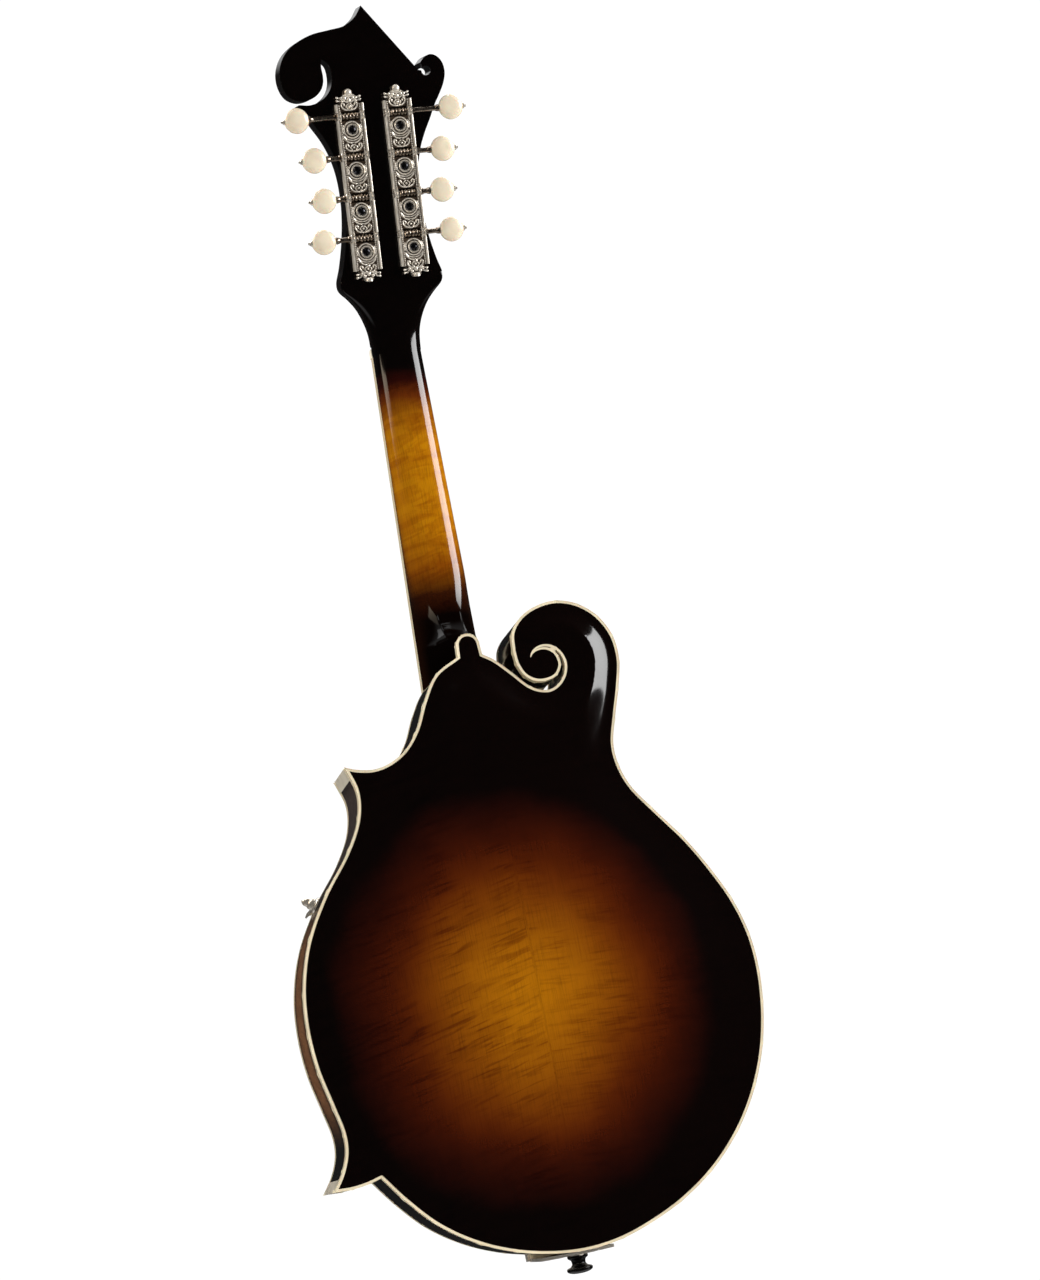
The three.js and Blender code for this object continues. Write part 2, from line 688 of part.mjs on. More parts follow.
/** Support under the end of the fingerboard, clear of the soundboard's arch. */
function extensionSupport() {
  const near = 190;
  const far = 280;
  const under = FINGERBOARD_THICKNESS + GLUE_GAP;
  const start = neckPoint(0, under, -near);
  const end = neckPoint(0, under, -far);
  const profile = [[start.z, start.y], [end.z, end.y]];
  for (let z = end.z; z < start.z - 14; z += 12) {
    profile.push([z, -outerHeight(0, z, TOP_ARCH) - SHOULDER_CLEARANCE]);
  }
  profile.push([start.z, -EDGE_Y - SHOULDER_CLEARANCE]);
  return crossBar(profile, 33);
}

/** Neck, heel and headstock from one piece of wood, cut to the body and channelled for the truss rod. */
function neck() {
  const distances = [206, HEEL_FACE, 175.5, 172, 168, 163, 157, 150, 142, HEEL_START, 110, 75, 35, 0, -1.5];
  const shaft = loft(distances.map(neckRing));
  const channel = block([-2.6, 0, -172], [2.6, ROD_DEPTH + 2.7, 14]);
  const fingerboardSeat = block([-30, -20, -300], [30, FINGERBOARD_THICKNESS + GLUE_GAP - 0.1, GLUE_GAP / 2]);
  const bodySpace = prism(inset(OUTLINE, -GLUE_GAP), -EDGE_Y - SHOULDER_CLEARANCE, EDGE_Y + GLUE_GAP);
  return moved(shaft, placeNeck)
    .add(moved(headWood(), placeHead))
    .add(extensionSupport())
    .subtract(bodySpace)
    .subtract(moved(fingerboardSeat.add(channel), placeNeck));
}

/** Fingerboard in the neck's frame, with the scooped end past the last fret. */
function fingerboard() {
  const end = fretDistance(FRET_COUNT) + 2;
  const half = neckHalfWidth(end);
  const outline = [[-NUT_HALF_WIDTH, 0], [-half, -end], [-half * 0.35, -end + 3.5], [half * 0.35, -end + 3.5],
    [half, -end], [NUT_HALF_WIDTH, 0]];
  return prism(outline.map(([x, z]) => new THREE.Vector2(x, z)), 0, FINGERBOARD_THICKNESS);
}

/** Nut in the neck's frame. */
function nut() {
  const half = NUT_HALF_WIDTH + 0.5;
  return crossBar([[GLUE_GAP, 5], [GLUE_GAP, -0.9], [1.4, -1.3], [3, -1.2], [5, 0.2], [5, 5]], 2 * half);
}

function overlay() {
  const beyondNut = block([-60, -10, 7], [60, 30, 210]);
  return prism(headOutline(), OVERLAY_FRONT, HEAD_WOOD_FRONT - GLUE_GAP)
    .intersect(beyondNut)
    .subtract(postHoles())
    .subtract(block(...NUT_POCKET));
}

/** Bell-shaped cover over the truss rod's nut. */
function rodCover() {
  const half = [[10.5, 7.6], [10.5, 11], [7.5, 15], [5.6, 21], [5.4, 29], [3, 33.5], [0, 35.5]];
  const right = smooth(half, 1);
  const left = right.slice(1).reverse().map((point) => new THREE.Vector2(-point.x, point.y));
  const outline = [...right, new THREE.Vector2(0, 35.5), ...left, new THREE.Vector2(-10.5, 7.6)];
  return prism(outline, OVERLAY_FRONT - GLUE_GAP - 1.8, OVERLAY_FRONT - GLUE_GAP);
}

// ---------------------------------------------------------------- tuning machines (headstock's frame)

/** One engraved plate: a shallow housing over four gears, with collars that carry the worm shafts. */
function tunerPlate(side) {
  const x = side * POST_ROW_X;
  const back = 23.4;
  const seat = HEAD_BACK + GLUE_GAP;
  const half = 8.2;
  const outline = [[half, 52], [half, 147], [5.5, 148.5], [5, 152], [0, 155.5], [-5, 152], [-5.5, 148.5],
    [-half, 147], [-half, 52], [-5.5, 51], [-4.6, 48.2], [0, 45.4], [4.6, 48.2], [5.5, 51]];
  let plate = prism(outline.map(([dx, v]) => new THREE.Vector2(x + dx, v)), seat, back);
  for (const v of POSTS) {
    const worm = v + WORM_RISE;
    const collars = [-1, 1].map((end) => rod(2.9, -1.1, 1.1, 'x', [x + end * 6.8, WORM_Y, worm], 10));
    plate = plate
      .add(collars[0].add(collars[1]).intersect(block([x - 9, seat, worm - 4], [x + 9, 30, worm + 4])))
      .subtract(rod(GEAR_RADIUS + 0.7, HEAD_BACK, 22, 'y', [x, 0, v], 12))
      .subtract(rod(POST_END_RADIUS + RUN_GAP, HEAD_BACK, 30, 'y', [x, 0, v], 12))
      .subtract(block([x - 5.4, HEAD_BACK, worm - 2.6], [x + 5.4, 30, worm + 2.6]))
      .subtract(rod(SHAFT_RADIUS + RUN_GAP, -12, 12, 'x', [x, WORM_Y, worm], 8));
  }
  return plate;
}

/** String post with its gear wheel and the ring that shows behind it. */
function stringPost(x, v) {
  const profile = [[0, -9], [POST_RADIUS, -8.5], [POST_RADIUS, 18.7], [GEAR_RADIUS, 18.9],
    [GEAR_RADIUS, 21.6], [POST_END_RADIUS, 21.8], [POST_END_RADIUS, 23.8], [2.6, 23.8], [0, 22.8]];
  return turned(profile, 'y', [x, 0, v], 10);
}

/** Worm shaft from the inner collar out through the button to its tip; the worm is its core. */
function wormShaft(side, x, v, buttonX) {
  const out = buttonX - x;
  const profile = [[0, -7.6], [SHAFT_RADIUS, -7.6], [SHAFT_RADIUS, -5.1], [1.3, -4.8], [1.3, 4.8],
    [SHAFT_RADIUS, 5.1], [SHAFT_RADIUS, out - 7.6], [PIN_RADIUS, out - 7.2], [PIN_RADIUS, out + 7.6],
    [1.3, out + 8.3], [0, out + 9.2]];
  const shaft = turned(profile, 'x', [0, 0, 0], 8);
  const facing = side > 0 ? shaft : shaft.rotate([0, 0, 180]);
  return facing.translate([side * x, WORM_Y, v]);
}

/** Flattened round button, bored for its shaft. */
function button(side, buttonX, v) {
  const geometry = new THREE.SphereGeometry(1, 12, 6);
  geometry.rotateZ(Math.PI / 2);
  geometry.scale(BUTTON_RADIUS, BUTTON_HALF_THICKNESS, BUTTON_RADIUS);
  const at = [side * buttonX, WORM_Y, v];
  return solidOf(geometry).translate(at).subtract(rod(PIN_RADIUS + GLUE_GAP, -9, 9, 'x', at, 6));
}

// ---------------------------------------------------------------- bridge

const BRIDGE_HALF_DEPTH = 4.6;
const STUD_RADIUS = 1.5;

/** Bridge base, its underside carved to the soundboard, with two studs for the thumbwheels. */
function bridgeBase() {
  const half = 56;
  const steps = 14;
  const points = [];
  for (let i = 0; i <= steps; i += 1) {
    const x = -half + 2 * half * i / steps;
    const rows = [BRIDGE_Z - BRIDGE_HALF_DEPTH, BRIDGE_Z, BRIDGE_Z + BRIDGE_HALF_DEPTH];
    const arch = Math.max(...rows.map((z) => outerHeight(x, z, TOP_ARCH)));
    points.push(new THREE.Vector2(x, -arch - GLUE_GAP - 0.2));
  }
  const shoulderY = -38.6;
  points.push(new THREE.Vector2(half, shoulderY + 3));
  points.push(new THREE.Vector2(40, -42.7));
  points.push(new THREE.Vector2(-40, -42.7));
  points.push(new THREE.Vector2(-half, shoulderY + 3));
  const geometry = new THREE.ExtrudeGeometry(new THREE.Shape(points), {
    depth: 2 * BRIDGE_HALF_DEPTH,
    bevelEnabled: false,
  });
  geometry.translate(0, 0, BRIDGE_Z - BRIDGE_HALF_DEPTH);
  const studs = [-1, 1].map((side) => rod(STUD_RADIUS, -51, -40, 'y', [side * WHEEL_X, 0, BRIDGE_Z], 10));
  return solidOf(geometry).add(studs[0]).add(studs[1]);
}

/** Saddle with a stepped, compensated crown, bored for the two studs. */
function bridgeSaddle() {
  const half = 38;
  const profile = [[-2.8, SADDLE_BOTTOM_Y], [-2.8, SADDLE_BOTTOM_Y - 3], [-1, SADDLE_TOP_Y],
    [1, SADDLE_TOP_Y], [2.8, SADDLE_BOTTOM_Y - 3], [2.8, SADDLE_BOTTOM_Y]];
  const bar = crossBar(profile.map(([z, y]) => [BRIDGE_Z + z, y]), 2 * half);
  const ends = [-1, 1].map((side) => block(
    [side > 0 ? 27 : -half - 1, SADDLE_TOP_Y - 1, BRIDGE_Z - 4],
    [side > 0 ? half + 1 : -27, SADDLE_TOP_Y + 2.2, BRIDGE_Z + 4],
  ));
  const bore = (x) => rod(STUD_RADIUS + RUN_GAP, -53, -46, 'y', [x, 0, BRIDGE_Z], 10);
  return bar.subtract(ends[0]).subtract(ends[1]).subtract(bore(-WHEEL_X)).subtract(bore(WHEEL_X));
}

/** Thumbwheel between base and saddle, with room under it for the saddle to be lowered. */
function thumbwheel(x) {
  const bore = STUD_RADIUS + RUN_GAP;
  const profile = [[bore, -46.9], [5, -46.9], [5.6, -46.4], [5.6, -45], [5, -44.5], [bore, -44.5],
    [bore, -46.9]];
  return turned(profile, 'y', [x, 0, BRIDGE_Z], 14);
}

// ---------------------------------------------------------------- tailpiece and end pin

const TAILPIECE_SLOPE = THREE.MathUtils.degToRad(10);
const TAILPIECE_HALF_WIDTH = 20.5;
const FLAP_Z = TAIL_Z - 1.7;
const placeTailpiece = new THREE.Matrix4().makeTranslation(0, -27.5, FLAP_Z)
  .multiply(new THREE.Matrix4().makeRotationX(TAILPIECE_SLOPE));

/** Tailpiece base: a flap down the tail and a sloping deck that ends in eight string hooks. */
function tailpieceBase() {
  const thickness = 1.3;
  const deckLength = 68;
  const half = TAILPIECE_HALF_WIDTH;
  let deck = block([-half, 0, 0], [half, thickness, deckLength]);
  for (const x of HOOK_STRINGS) {
    deck = deck.add(block([x - 0.9, -2.6, deckLength - 6], [x + 0.9, 0.4, deckLength - 3.5]));
  }
  const flap = prism([[-half, 0], [half, 0], [half, 1.3], [-half, 1.3]]
    .map(([x, z]) => new THREE.Vector2(x, FLAP_Z + z)), -27.3, 13);
  const trims = [-1, 1].map((side) => {
    const corner = [[side * 21, 14], [side * 21, -4], [side * 9, 14]];
    const shape = new THREE.Shape(corner.map(([x, y]) => new THREE.Vector2(x, y)));
    const geometry = new THREE.ExtrudeGeometry(shape, { depth: 8, bevelEnabled: false });
    geometry.translate(0, 0, FLAP_Z - 3);
    return solidOf(geometry);
  });
  return moved(deck, placeTailpiece)
    .add(flap)
    .subtract(trims[0])
    .subtract(trims[1])
    .subtract(tailBore());
}

/** Sliding cover over the hooks: an arched lid with side walls, in the tailpiece's own frame. */
function tailpieceCover() {
  const outer = TAILPIECE_HALF_WIDTH + 1.1;
  const inner = TAILPIECE_HALF_WIDTH + GLUE_GAP;
  const crown = -8.6;
  const wall = 0.8;
  const arch = (half, top) => {
    const points = [];
    const steps = 10;
    for (let i = 0; i <= steps; i += 1) {
      const x = -half + 2 * half * i / steps;
      points.push(new THREE.Vector2(x, top + 2.4 * (x / half) ** 2));
    }
    return points;
  };
  const section = [...arch(outer, crown), new THREE.Vector2(outer, 1), new THREE.Vector2(inner, 1),
    ...arch(inner, crown + wall).reverse(), new THREE.Vector2(-inner, 1), new THREE.Vector2(-outer, 1)];
  const geometry = new THREE.ExtrudeGeometry(new THREE.Shape(section), { depth: 64, bevelEnabled: false });
  geometry.translate(0, 0, 1);
  return solidOf(geometry);
}

/** Turned end pin: a shank in the tail block, a base flange, a waist and a domed cap. */
function endPin() {
  const seat = FLAP_Z - GLUE_GAP;
  const profile = [[0, 0], [3.4, 0], [5.6, 0.6], [7.15, 1.8], [7.15, 3.1], [5, 3.6], [3.7, 5],
    [4, seat - 2.7], [5.7, seat - 1.7], [5.7, seat], [TAIL_BORE, seat], [TAIL_BORE, 14], [3.3, 27], [0, 27]];
  return turned(profile, 'z', [0, 0, 0], 14);
}

// ---------------------------------------------------------------- strings

/** A round section at each corner of a route, lying in the plane that halves the corner. */
function tubeAlong(route, radius) {
  const sides = 8;
  const across = new THREE.Vector3(1, 0, 0);
  const rings = route.map((point, i) => {
    const before = point.clone().sub(route[Math.max(0, i - 1)]).normalize();
    const after = route[Math.min(route.length - 1, i + 1)].clone().sub(point).normalize();
    const along = before.add(after).normalize();
    const right = across.clone().addScaledVector(along, -across.dot(along)).normalize();
    const up = new THREE.Vector3().crossVectors(along, right);
    const ring = [];
    for (let k = 0; k < sides; k += 1) {
      const angle = 2 * Math.PI * k / sides;
      const place = point.clone()
        .addScaledVector(right, radius * Math.cos(angle))
        .addScaledVector(up, radius * Math.sin(angle));
      ring.push(place.toArray());
    }
    return ring;
  });
  return loft(rings);
}

/** One string from its hook over the saddle and the nut to the inner side of its post. */
function stringAlong(i) {
  const radius = STRING_RADII[i];
  const side = i < 4 ? -1 : 1;
  const hook = new THREE.Vector3(HOOK_STRINGS[i], -1.6, 65.2).applyMatrix4(placeTailpiece);
  const saddle = new THREE.Vector3(SADDLE_STRINGS[i], SADDLE_TOP_Y - radius - 0.25, BRIDGE_Z);
  const overNut = neckPoint(NUT_STRINGS[i], -1.6 - radius, 2.2);
  const postX = side * (POST_ROW_X - 3 - radius - GLUE_GAP);
  const post = headPoint(postX, WINDING_Y[STRING_POSTS[i]], POSTS[STRING_POSTS[i]]);
  return tubeAlong([hook, saddle, overNut, post], radius);
}

// ---------------------------------------------------------------- pickguard

const GUARD_Y = -40.6;
const GUARD_THICKNESS = 2;
const CLAMP_PLACE = [105.6, 219];
const CLAMP_FACING = [0.86, 0.51];
const STRAP_END = [46, 236];     // where the bracket's strap ends under the pickguard

function pickguard() {
  const outline = smooth([[21.3, 306], [27, 303], [35, 292], [45, 277], [53, 258], [56, 238], [52, 219],
    [43, 207], [31, 203], [21.8, 210]], 2);
  outline.push(new THREE.Vector2(21.8, 210));
  return prism(outline, GUARD_Y, GUARD_Y + GUARD_THICKNESS);
}

/** Bracket under the pickguard: a strap out over the edge of the body and a foot down the ribs. */
function guardBracket() {
  const [x, z] = CLAMP_PLACE;
  const [nx, nz] = CLAMP_FACING;
  const halfWidth = 3;
  const thickness = 1;
  const strapTop = GUARD_Y + GUARD_THICKNESS + GLUE_GAP;
  const outside = 2.4;
  const outer = new THREE.Vector2(x + nx * outside, z + nz * outside);
  const inner = outer.clone().addScaledVector(new THREE.Vector2(nx, nz), -thickness);
  const across = new THREE.Vector2(-nz, nx);
  const end = new THREE.Vector2(...STRAP_END);
  const strip = (near, nearAcross, far, farAcross) => [
    near.clone().addScaledVector(nearAcross, -halfWidth),
    far.clone().addScaledVector(farAcross, -halfWidth),
    far.clone().addScaledVector(farAcross, halfWidth),
    near.clone().addScaledVector(nearAcross, halfWidth),
  ];
  const strap = prism(strip(end, new THREE.Vector2(0, 1), outer, across), strapTop, strapTop + thickness);
  const leg = prism(strip(inner, across, outer, across), strapTop, 9);
  const foot = onClamp(rod(4.6, 1.2, 2.6, 'x', [0, 0, 0], 14));
  const screw = onClamp(rod(1.3, 1.4, 7.5, 'x', [0, 0, 0], 10));
  return strap.add(leg).add(foot).add(screw);
}

/** A solid turned about X, set on the clamp's own axis, square to the ribs. */
function onClamp(solid) {
  const [nx, nz] = CLAMP_FACING;
  const [x, z] = CLAMP_PLACE;
  return solid
    .rotate([0, -Math.atan2(nz, nx) * 180 / Math.PI, 0])
    .translate([x, 3, z]);
}

/** Domed nut that tightens the bracket's foot. */
function clampNut() {
  const profile = [[1.6, 3], [3.2, 3], [3.2, 5.6], [2.4, 6.2], [2.4, 8], [1.4, 9.6], [0, 10], [0, 8.2],
    [1.6, 8.2], [1.6, 3]];
  return onClamp(turned(profile, 'x', [0, 0, 0], 14));
}

// ---------------------------------------------------------------- assembly

const mandolin = new THREE.Group();
const neckGroup = new THREE.Group();
const headGroup = new THREE.Group();
const tailpieceGroup = new THREE.Group();
neckGroup.applyMatrix4(placeNeck);
headGroup.applyMatrix4(placeHead);
tailpieceGroup.applyMatrix4(placeTailpiece);
mandolin.add(neckGroup, headGroup, tailpieceGroup);

function addPiece(name, solid, material, group = mandolin) {
  const mesh = new THREE.Mesh(geometryOf(solid), material);
  mesh.name = name;
  group.add(mesh);
}

addPiece('back_plate', backPlate(), sunburstMaple());
addPiece('top_plate', topPlate(), spruce());
addPiece('rim', rim(), darkMaple());
addPiece('back_binding', binding(BACK_OUTLINE, 1), cream());
addPiece('top_binding', binding(OUTLINE, -1), cream());
for (const cap of CAPS) {
  addPiece(cap.name, pointCap(cap), cream());
}
addPiece('head_block', headBlock(), rawWood());
addPiece('tail_block', tailBlock(), rawWood());

addPiece('neck', neck(), darkMaple());
addPiece('fingerboard', fingerboard(), ebony(), neckGroup);
addPiece('nut', nut(), bone(), neckGroup);
addPiece('truss_rod', rod(2.2, -168, 10, 'z', [0, ROD_DEPTH, 0], 10), steel(), neckGroup);
addPiece('truss_rod_nut', rod(2.6, 10.4, 17.5, 'z', [0, ROD_DEPTH, 0], 6), steel(), neckGroup);
addPiece('headstock_overlay', overlay(), blackPlastic(), headGroup);
addPiece('truss_rod_cover', rodCover(), blackPlastic(), headGroup);

for (const side of [-1, 1]) {
  const sideName = side < 0 ? 'bass' : 'treble';
  addPiece(`tuner_plate_${sideName}`, tunerPlate(side), nickel(), headGroup);
  POSTS.forEach((v, i) => {
    const label = `${sideName}_${i + 1}`;
    const worm = v + WORM_RISE;
    addPiece(`string_post_${label}`, stringPost(side * POST_ROW_X, v), nickel(), headGroup);
    addPiece(`worm_shaft_${label}`, wormShaft(side, POST_ROW_X, worm, BUTTON_X[i]), steel(), headGroup);
    addPiece(`button_${label}`, button(side, BUTTON_X[i], worm), bone(), headGroup);
  });
}

addPiece('bridge_base', bridgeBase(), ebony());
addPiece('bridge_saddle', bridgeSaddle(), ebony());
addPiece('thumbwheel_bass', thumbwheel(-WHEEL_X), nickel());
addPiece('thumbwheel_treble', thumbwheel(WHEEL_X), nickel());
addPiece('tailpiece_base', tailpieceBase(), nickel());
addPiece('tailpiece_cover', tailpieceCover(), nickel(), tailpieceGroup);
addPiece('end_pin', endPin(), blackPlastic());
addPiece('pickguard', pickguard(), blackPlastic());
addPiece('pickguard_bracket', guardBracket(), nickel());
addPiece('pickguard_clamp_nut', clampNut(), nickel());
for (let i = 0; i < STRING_RADII.length; i += 1) {
  addPiece(`string_${i + 1}`, stringAlong(i), i < 4 ? bronze() : steel());
}

export default mandolin;
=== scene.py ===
"""Looks of the mandolin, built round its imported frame.

Every length in this file is in millimetres until a piece is made, and the axes are the frame's:
+Z up the neck, -Y the front, +Y the back, +X the treble side.
"""
import math
import random

import bmesh
import bpy
import numpy as np
from mathutils import Matrix, Vector
from mathutils.geometry import delaunay_2d_cdt


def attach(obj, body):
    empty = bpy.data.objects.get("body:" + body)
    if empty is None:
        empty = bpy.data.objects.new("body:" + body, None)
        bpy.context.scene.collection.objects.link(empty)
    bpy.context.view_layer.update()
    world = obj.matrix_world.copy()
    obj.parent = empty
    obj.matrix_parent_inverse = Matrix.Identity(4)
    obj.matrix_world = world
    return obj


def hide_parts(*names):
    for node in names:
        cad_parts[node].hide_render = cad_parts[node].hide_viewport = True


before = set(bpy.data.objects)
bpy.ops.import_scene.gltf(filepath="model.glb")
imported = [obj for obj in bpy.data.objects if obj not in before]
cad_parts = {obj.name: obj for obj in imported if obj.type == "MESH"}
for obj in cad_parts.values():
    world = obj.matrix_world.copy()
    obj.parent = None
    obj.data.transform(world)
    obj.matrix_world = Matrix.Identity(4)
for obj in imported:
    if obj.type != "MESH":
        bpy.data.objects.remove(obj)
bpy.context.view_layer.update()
random.seed(7)

MM = 0.001
BODY = "instrument"

# ---------------------------------------------------------------- dimensions

SCALE_LENGTH = 353
FRET_COUNT = 29
TAIL_Z = 12
EDGE_Y = 22.8
RIM_Y = 18.2
BINDING_THICKNESS = 1.5
BACK_ARCH = 10.5
TOP_ARCH = 12.4
PLATE_THICKNESS = 4.2

NUT_Z = 536
NUT_Y = -21.3
NECK_ANGLE = math.radians(5.1)
HEAD_ANGLE = math.radians(20.9)
FINGERBOARD_THICKNESS = 6
NUT_HALF_WIDTH = 14.3
JOINT_HALF_WIDTH = 18.6
NECK_LENGTH = 204.6

HEAD_BACK = 18.2
HEAD_WOOD_FRONT = 5.3
OVERLAY_FRONT = 3.2
POST_ROW_X = 14.1
POST_PITCH = 23.2
POSTS = [62.6 + POST_PITCH * i for i in range(4)]
WORM_RISE = 7.9
WORM_Y = 21.2
BUTTON_X = [38, 35, 38, 45.4]

BRIDGE_Z = NUT_Z - SCALE_LENGTH * math.cos(NECK_ANGLE)
SADDLE_TOP_Y = -55.2
SADDLE_BOTTOM_Y = -47.2
WHEEL_X = 31
TAILPIECE_SLOPE = math.radians(10)
TAILPIECE_HALF_WIDTH = 20.5
FLAP_Z = TAIL_Z - 1.7
FLAP_THICKNESS = 1.3
GUARD_Y = -40.6
CLAMP_PLACE = (105.6, 3, 219)
CLAMP_FACING = (0.86, 0.51)       # outwards from the ribs, in X and Z
STRAP_HALF = 1.4

NUT_STRINGS = [-11.4, -9.3, -4.5, -2.4, 2.4, 4.5, 9.3, 11.4]
SADDLE_STRINGS = [-20, -17, -7.6, -4.7, 4.7, 7.6, 17, 20]
HOOK_STRINGS = [-15.4, -11, -6.6, -2.2, 2.2, 6.6, 11, 15.4]
STRING_RADII = [0.5, 0.5, 0.33, 0.33, 0.2, 0.2, 0.14, 0.14]
STRING_POSTS = [0, 1, 2, 3, 3, 2, 1, 0]
WINDING_Y = [-1.5, -5, -2.5, -5.5]


def placed(origin, angle):
    """The frame of a piece that is turned about X and stands at an origin."""
    return Matrix.Translation(Vector(origin)) @ Matrix.Rotation(angle, 4, "X")


NECK = placed((0, NUT_Y, NUT_Z), -NECK_ANGLE)
HEAD = placed((0, NUT_Y, NUT_Z), -HEAD_ANGLE)
TAILPIECE = placed((0, -27.5, FLAP_Z), TAILPIECE_SLOPE)
UPRIGHT = Matrix.Identity(4)

# ---------------------------------------------------------------- camera

camera = bpy.data.objects.new("camera", bpy.data.cameras.new("camera"))
camera.data.lens = 70.6
camera.data.sensor_width = 36
camera.location = (0.3042, 1.3636, 0.0575)
camera.rotation_euler = [math.radians(a) for a in (102.017, 11.054, 168.336)]
bpy.context.scene.collection.objects.link(camera)
bpy.context.scene.camera = camera


# ---------------------------------------------------------------- materials

class Shade:
    """A node material under construction."""

    def __init__(self, name, **settings):
        self.material = bpy.data.materials.new(name)
        self.material.use_nodes = True
        self.tree = self.material.node_tree
        self.shader = self.tree.nodes["Principled BSDF"]
        self.place = self.tree.nodes.new("ShaderNodeTexCoord").outputs["Object"]
        for key, value in settings.items():
            self.shader.inputs[key.replace("_", " ")].default_value = value

    def node(self, kind, inputs=(), output=0, **settings):
        made = self.tree.nodes.new(kind)
        for key, value in settings.items():
            setattr(made, key, value)
        for key, value in dict(inputs).items():
            self.put(made.inputs[key], value)
        return made.outputs[output]

    def put(self, socket, value):
        if isinstance(value, bpy.types.NodeSocket):
            self.tree.links.new(value, socket)
        else:
            socket.default_value = value

    def maths(self, operation, a, b=0.0, c=0.0, clamp=False):
        return self.node("ShaderNodeMath", {0: a, 1: b, 2: c}, operation=operation, use_clamp=clamp)

    def times(self, a, b):
        return self.maths("MULTIPLY", a, b)

    def plus(self, a, b):
        return self.maths("ADD", a, b)

    def minus(self, a, b):
        return self.maths("SUBTRACT", a, b)

    def axes(self):
        """Object coordinates in millimetres."""
        scaled = self.node("ShaderNodeVectorMath", {0: self.place, 3: 1000.0}, operation="SCALE")
        parts = self.tree.nodes.new("ShaderNodeSeparateXYZ")
        self.tree.links.new(scaled, parts.inputs[0])
        return parts.outputs[0], parts.outputs[1], parts.outputs[2]

    def join(self, x, y, z):
        return self.node("ShaderNodeCombineXYZ", {0: x, 1: y, 2: z})

    def noise(self, vector, scale, detail=2.0, roughness=0.5, distortion=0.0):
        return self.node("ShaderNodeTexNoise", {
            "Vector": vector, "Scale": scale, "Detail": detail, "Roughness": roughness,
            "Distortion": distortion})

    def ramp(self, value, stops, kind="EASE"):
        made = self.tree.nodes.new("ShaderNodeValToRGB")
        ramp = made.color_ramp
        ramp.interpolation = kind
        while len(ramp.elements) < len(stops):
            ramp.elements.new(0.5)
        for element, (position, colour) in zip(ramp.elements, stops):
            element.position = position
            element.color = (*colour, 1) if len(colour) == 3 else colour
        self.put(made.inputs[0], value)
        return made.outputs[0]

    def band(self, value, low, high):
        """0 below low, 1 above high, smooth between."""
        return self.node("ShaderNodeMapRange", {0: value, 1: low, 2: high, 3: 0.0, 4: 1.0},
                         interpolation_type="SMOOTHSTEP")

    def mix(self, factor, a, b, blend="MIX"):
        made = self.tree.nodes.new("ShaderNodeMix")
        made.data_type = "RGBA"
        made.blend_type = blend
        self.put(made.inputs[0], factor)
        for socket, value in ((made.inputs[6], a), (made.inputs[7], b)):
            self.put(socket, (*value, 1) if isinstance(value, tuple) and len(value) == 3 else value)
        return made.outputs[2]

    def bump(self, height, distance, strength=1.0):
        made = self.node("ShaderNodeBump", {"Height": height, "Distance": distance * MM,
                                            "Strength": strength})
        self.put(self.shader.inputs["Normal"], made)

    def colour(self, value):
        self.put(self.shader.inputs["Base Color"], (*value, 1)
                 if isinstance(value, tuple) else value)

    def roughness(self, value):
        self.put(self.shader.inputs["Roughness"], value)


def grey(value):
    return (value, value, value)


LACQUER = {"Roughness": 0.5, "Coat_Weight": 1.0, "Coat_Roughness": 0.09, "Coat_IOR": 1.5,
           "Specular_IOR_Level": 0.0}


def flames(shade, across, along, tilt, length, spacing, offset):
    """Curly figure: wavy bands that lie across the grain. Returns 0 between bands and 1 on them."""
    height = shade.plus(along, shade.times(across, tilt))
    vector = shade.join(shade.times(across, 1 / length), offset,
                        shade.times(height, 1 / spacing))
    wide = shade.noise(vector, 1.0, 3.0, 0.55, 0.9)
    return shade.band(wide, 0.44, 0.62)


def streaks(shade, across, along, tilt, length, spacing, offset):
    """Thin dark strokes of the same figure, pointed at both ends."""
    height = shade.plus(along, shade.times(across, tilt))
    vector = shade.join(shade.times(across, 1 / length), offset,
                        shade.times(height, 1 / spacing))
    return shade.band(shade.noise(vector, 1.0, 1.0, 0.4, 0.35), 0.55, 0.68)


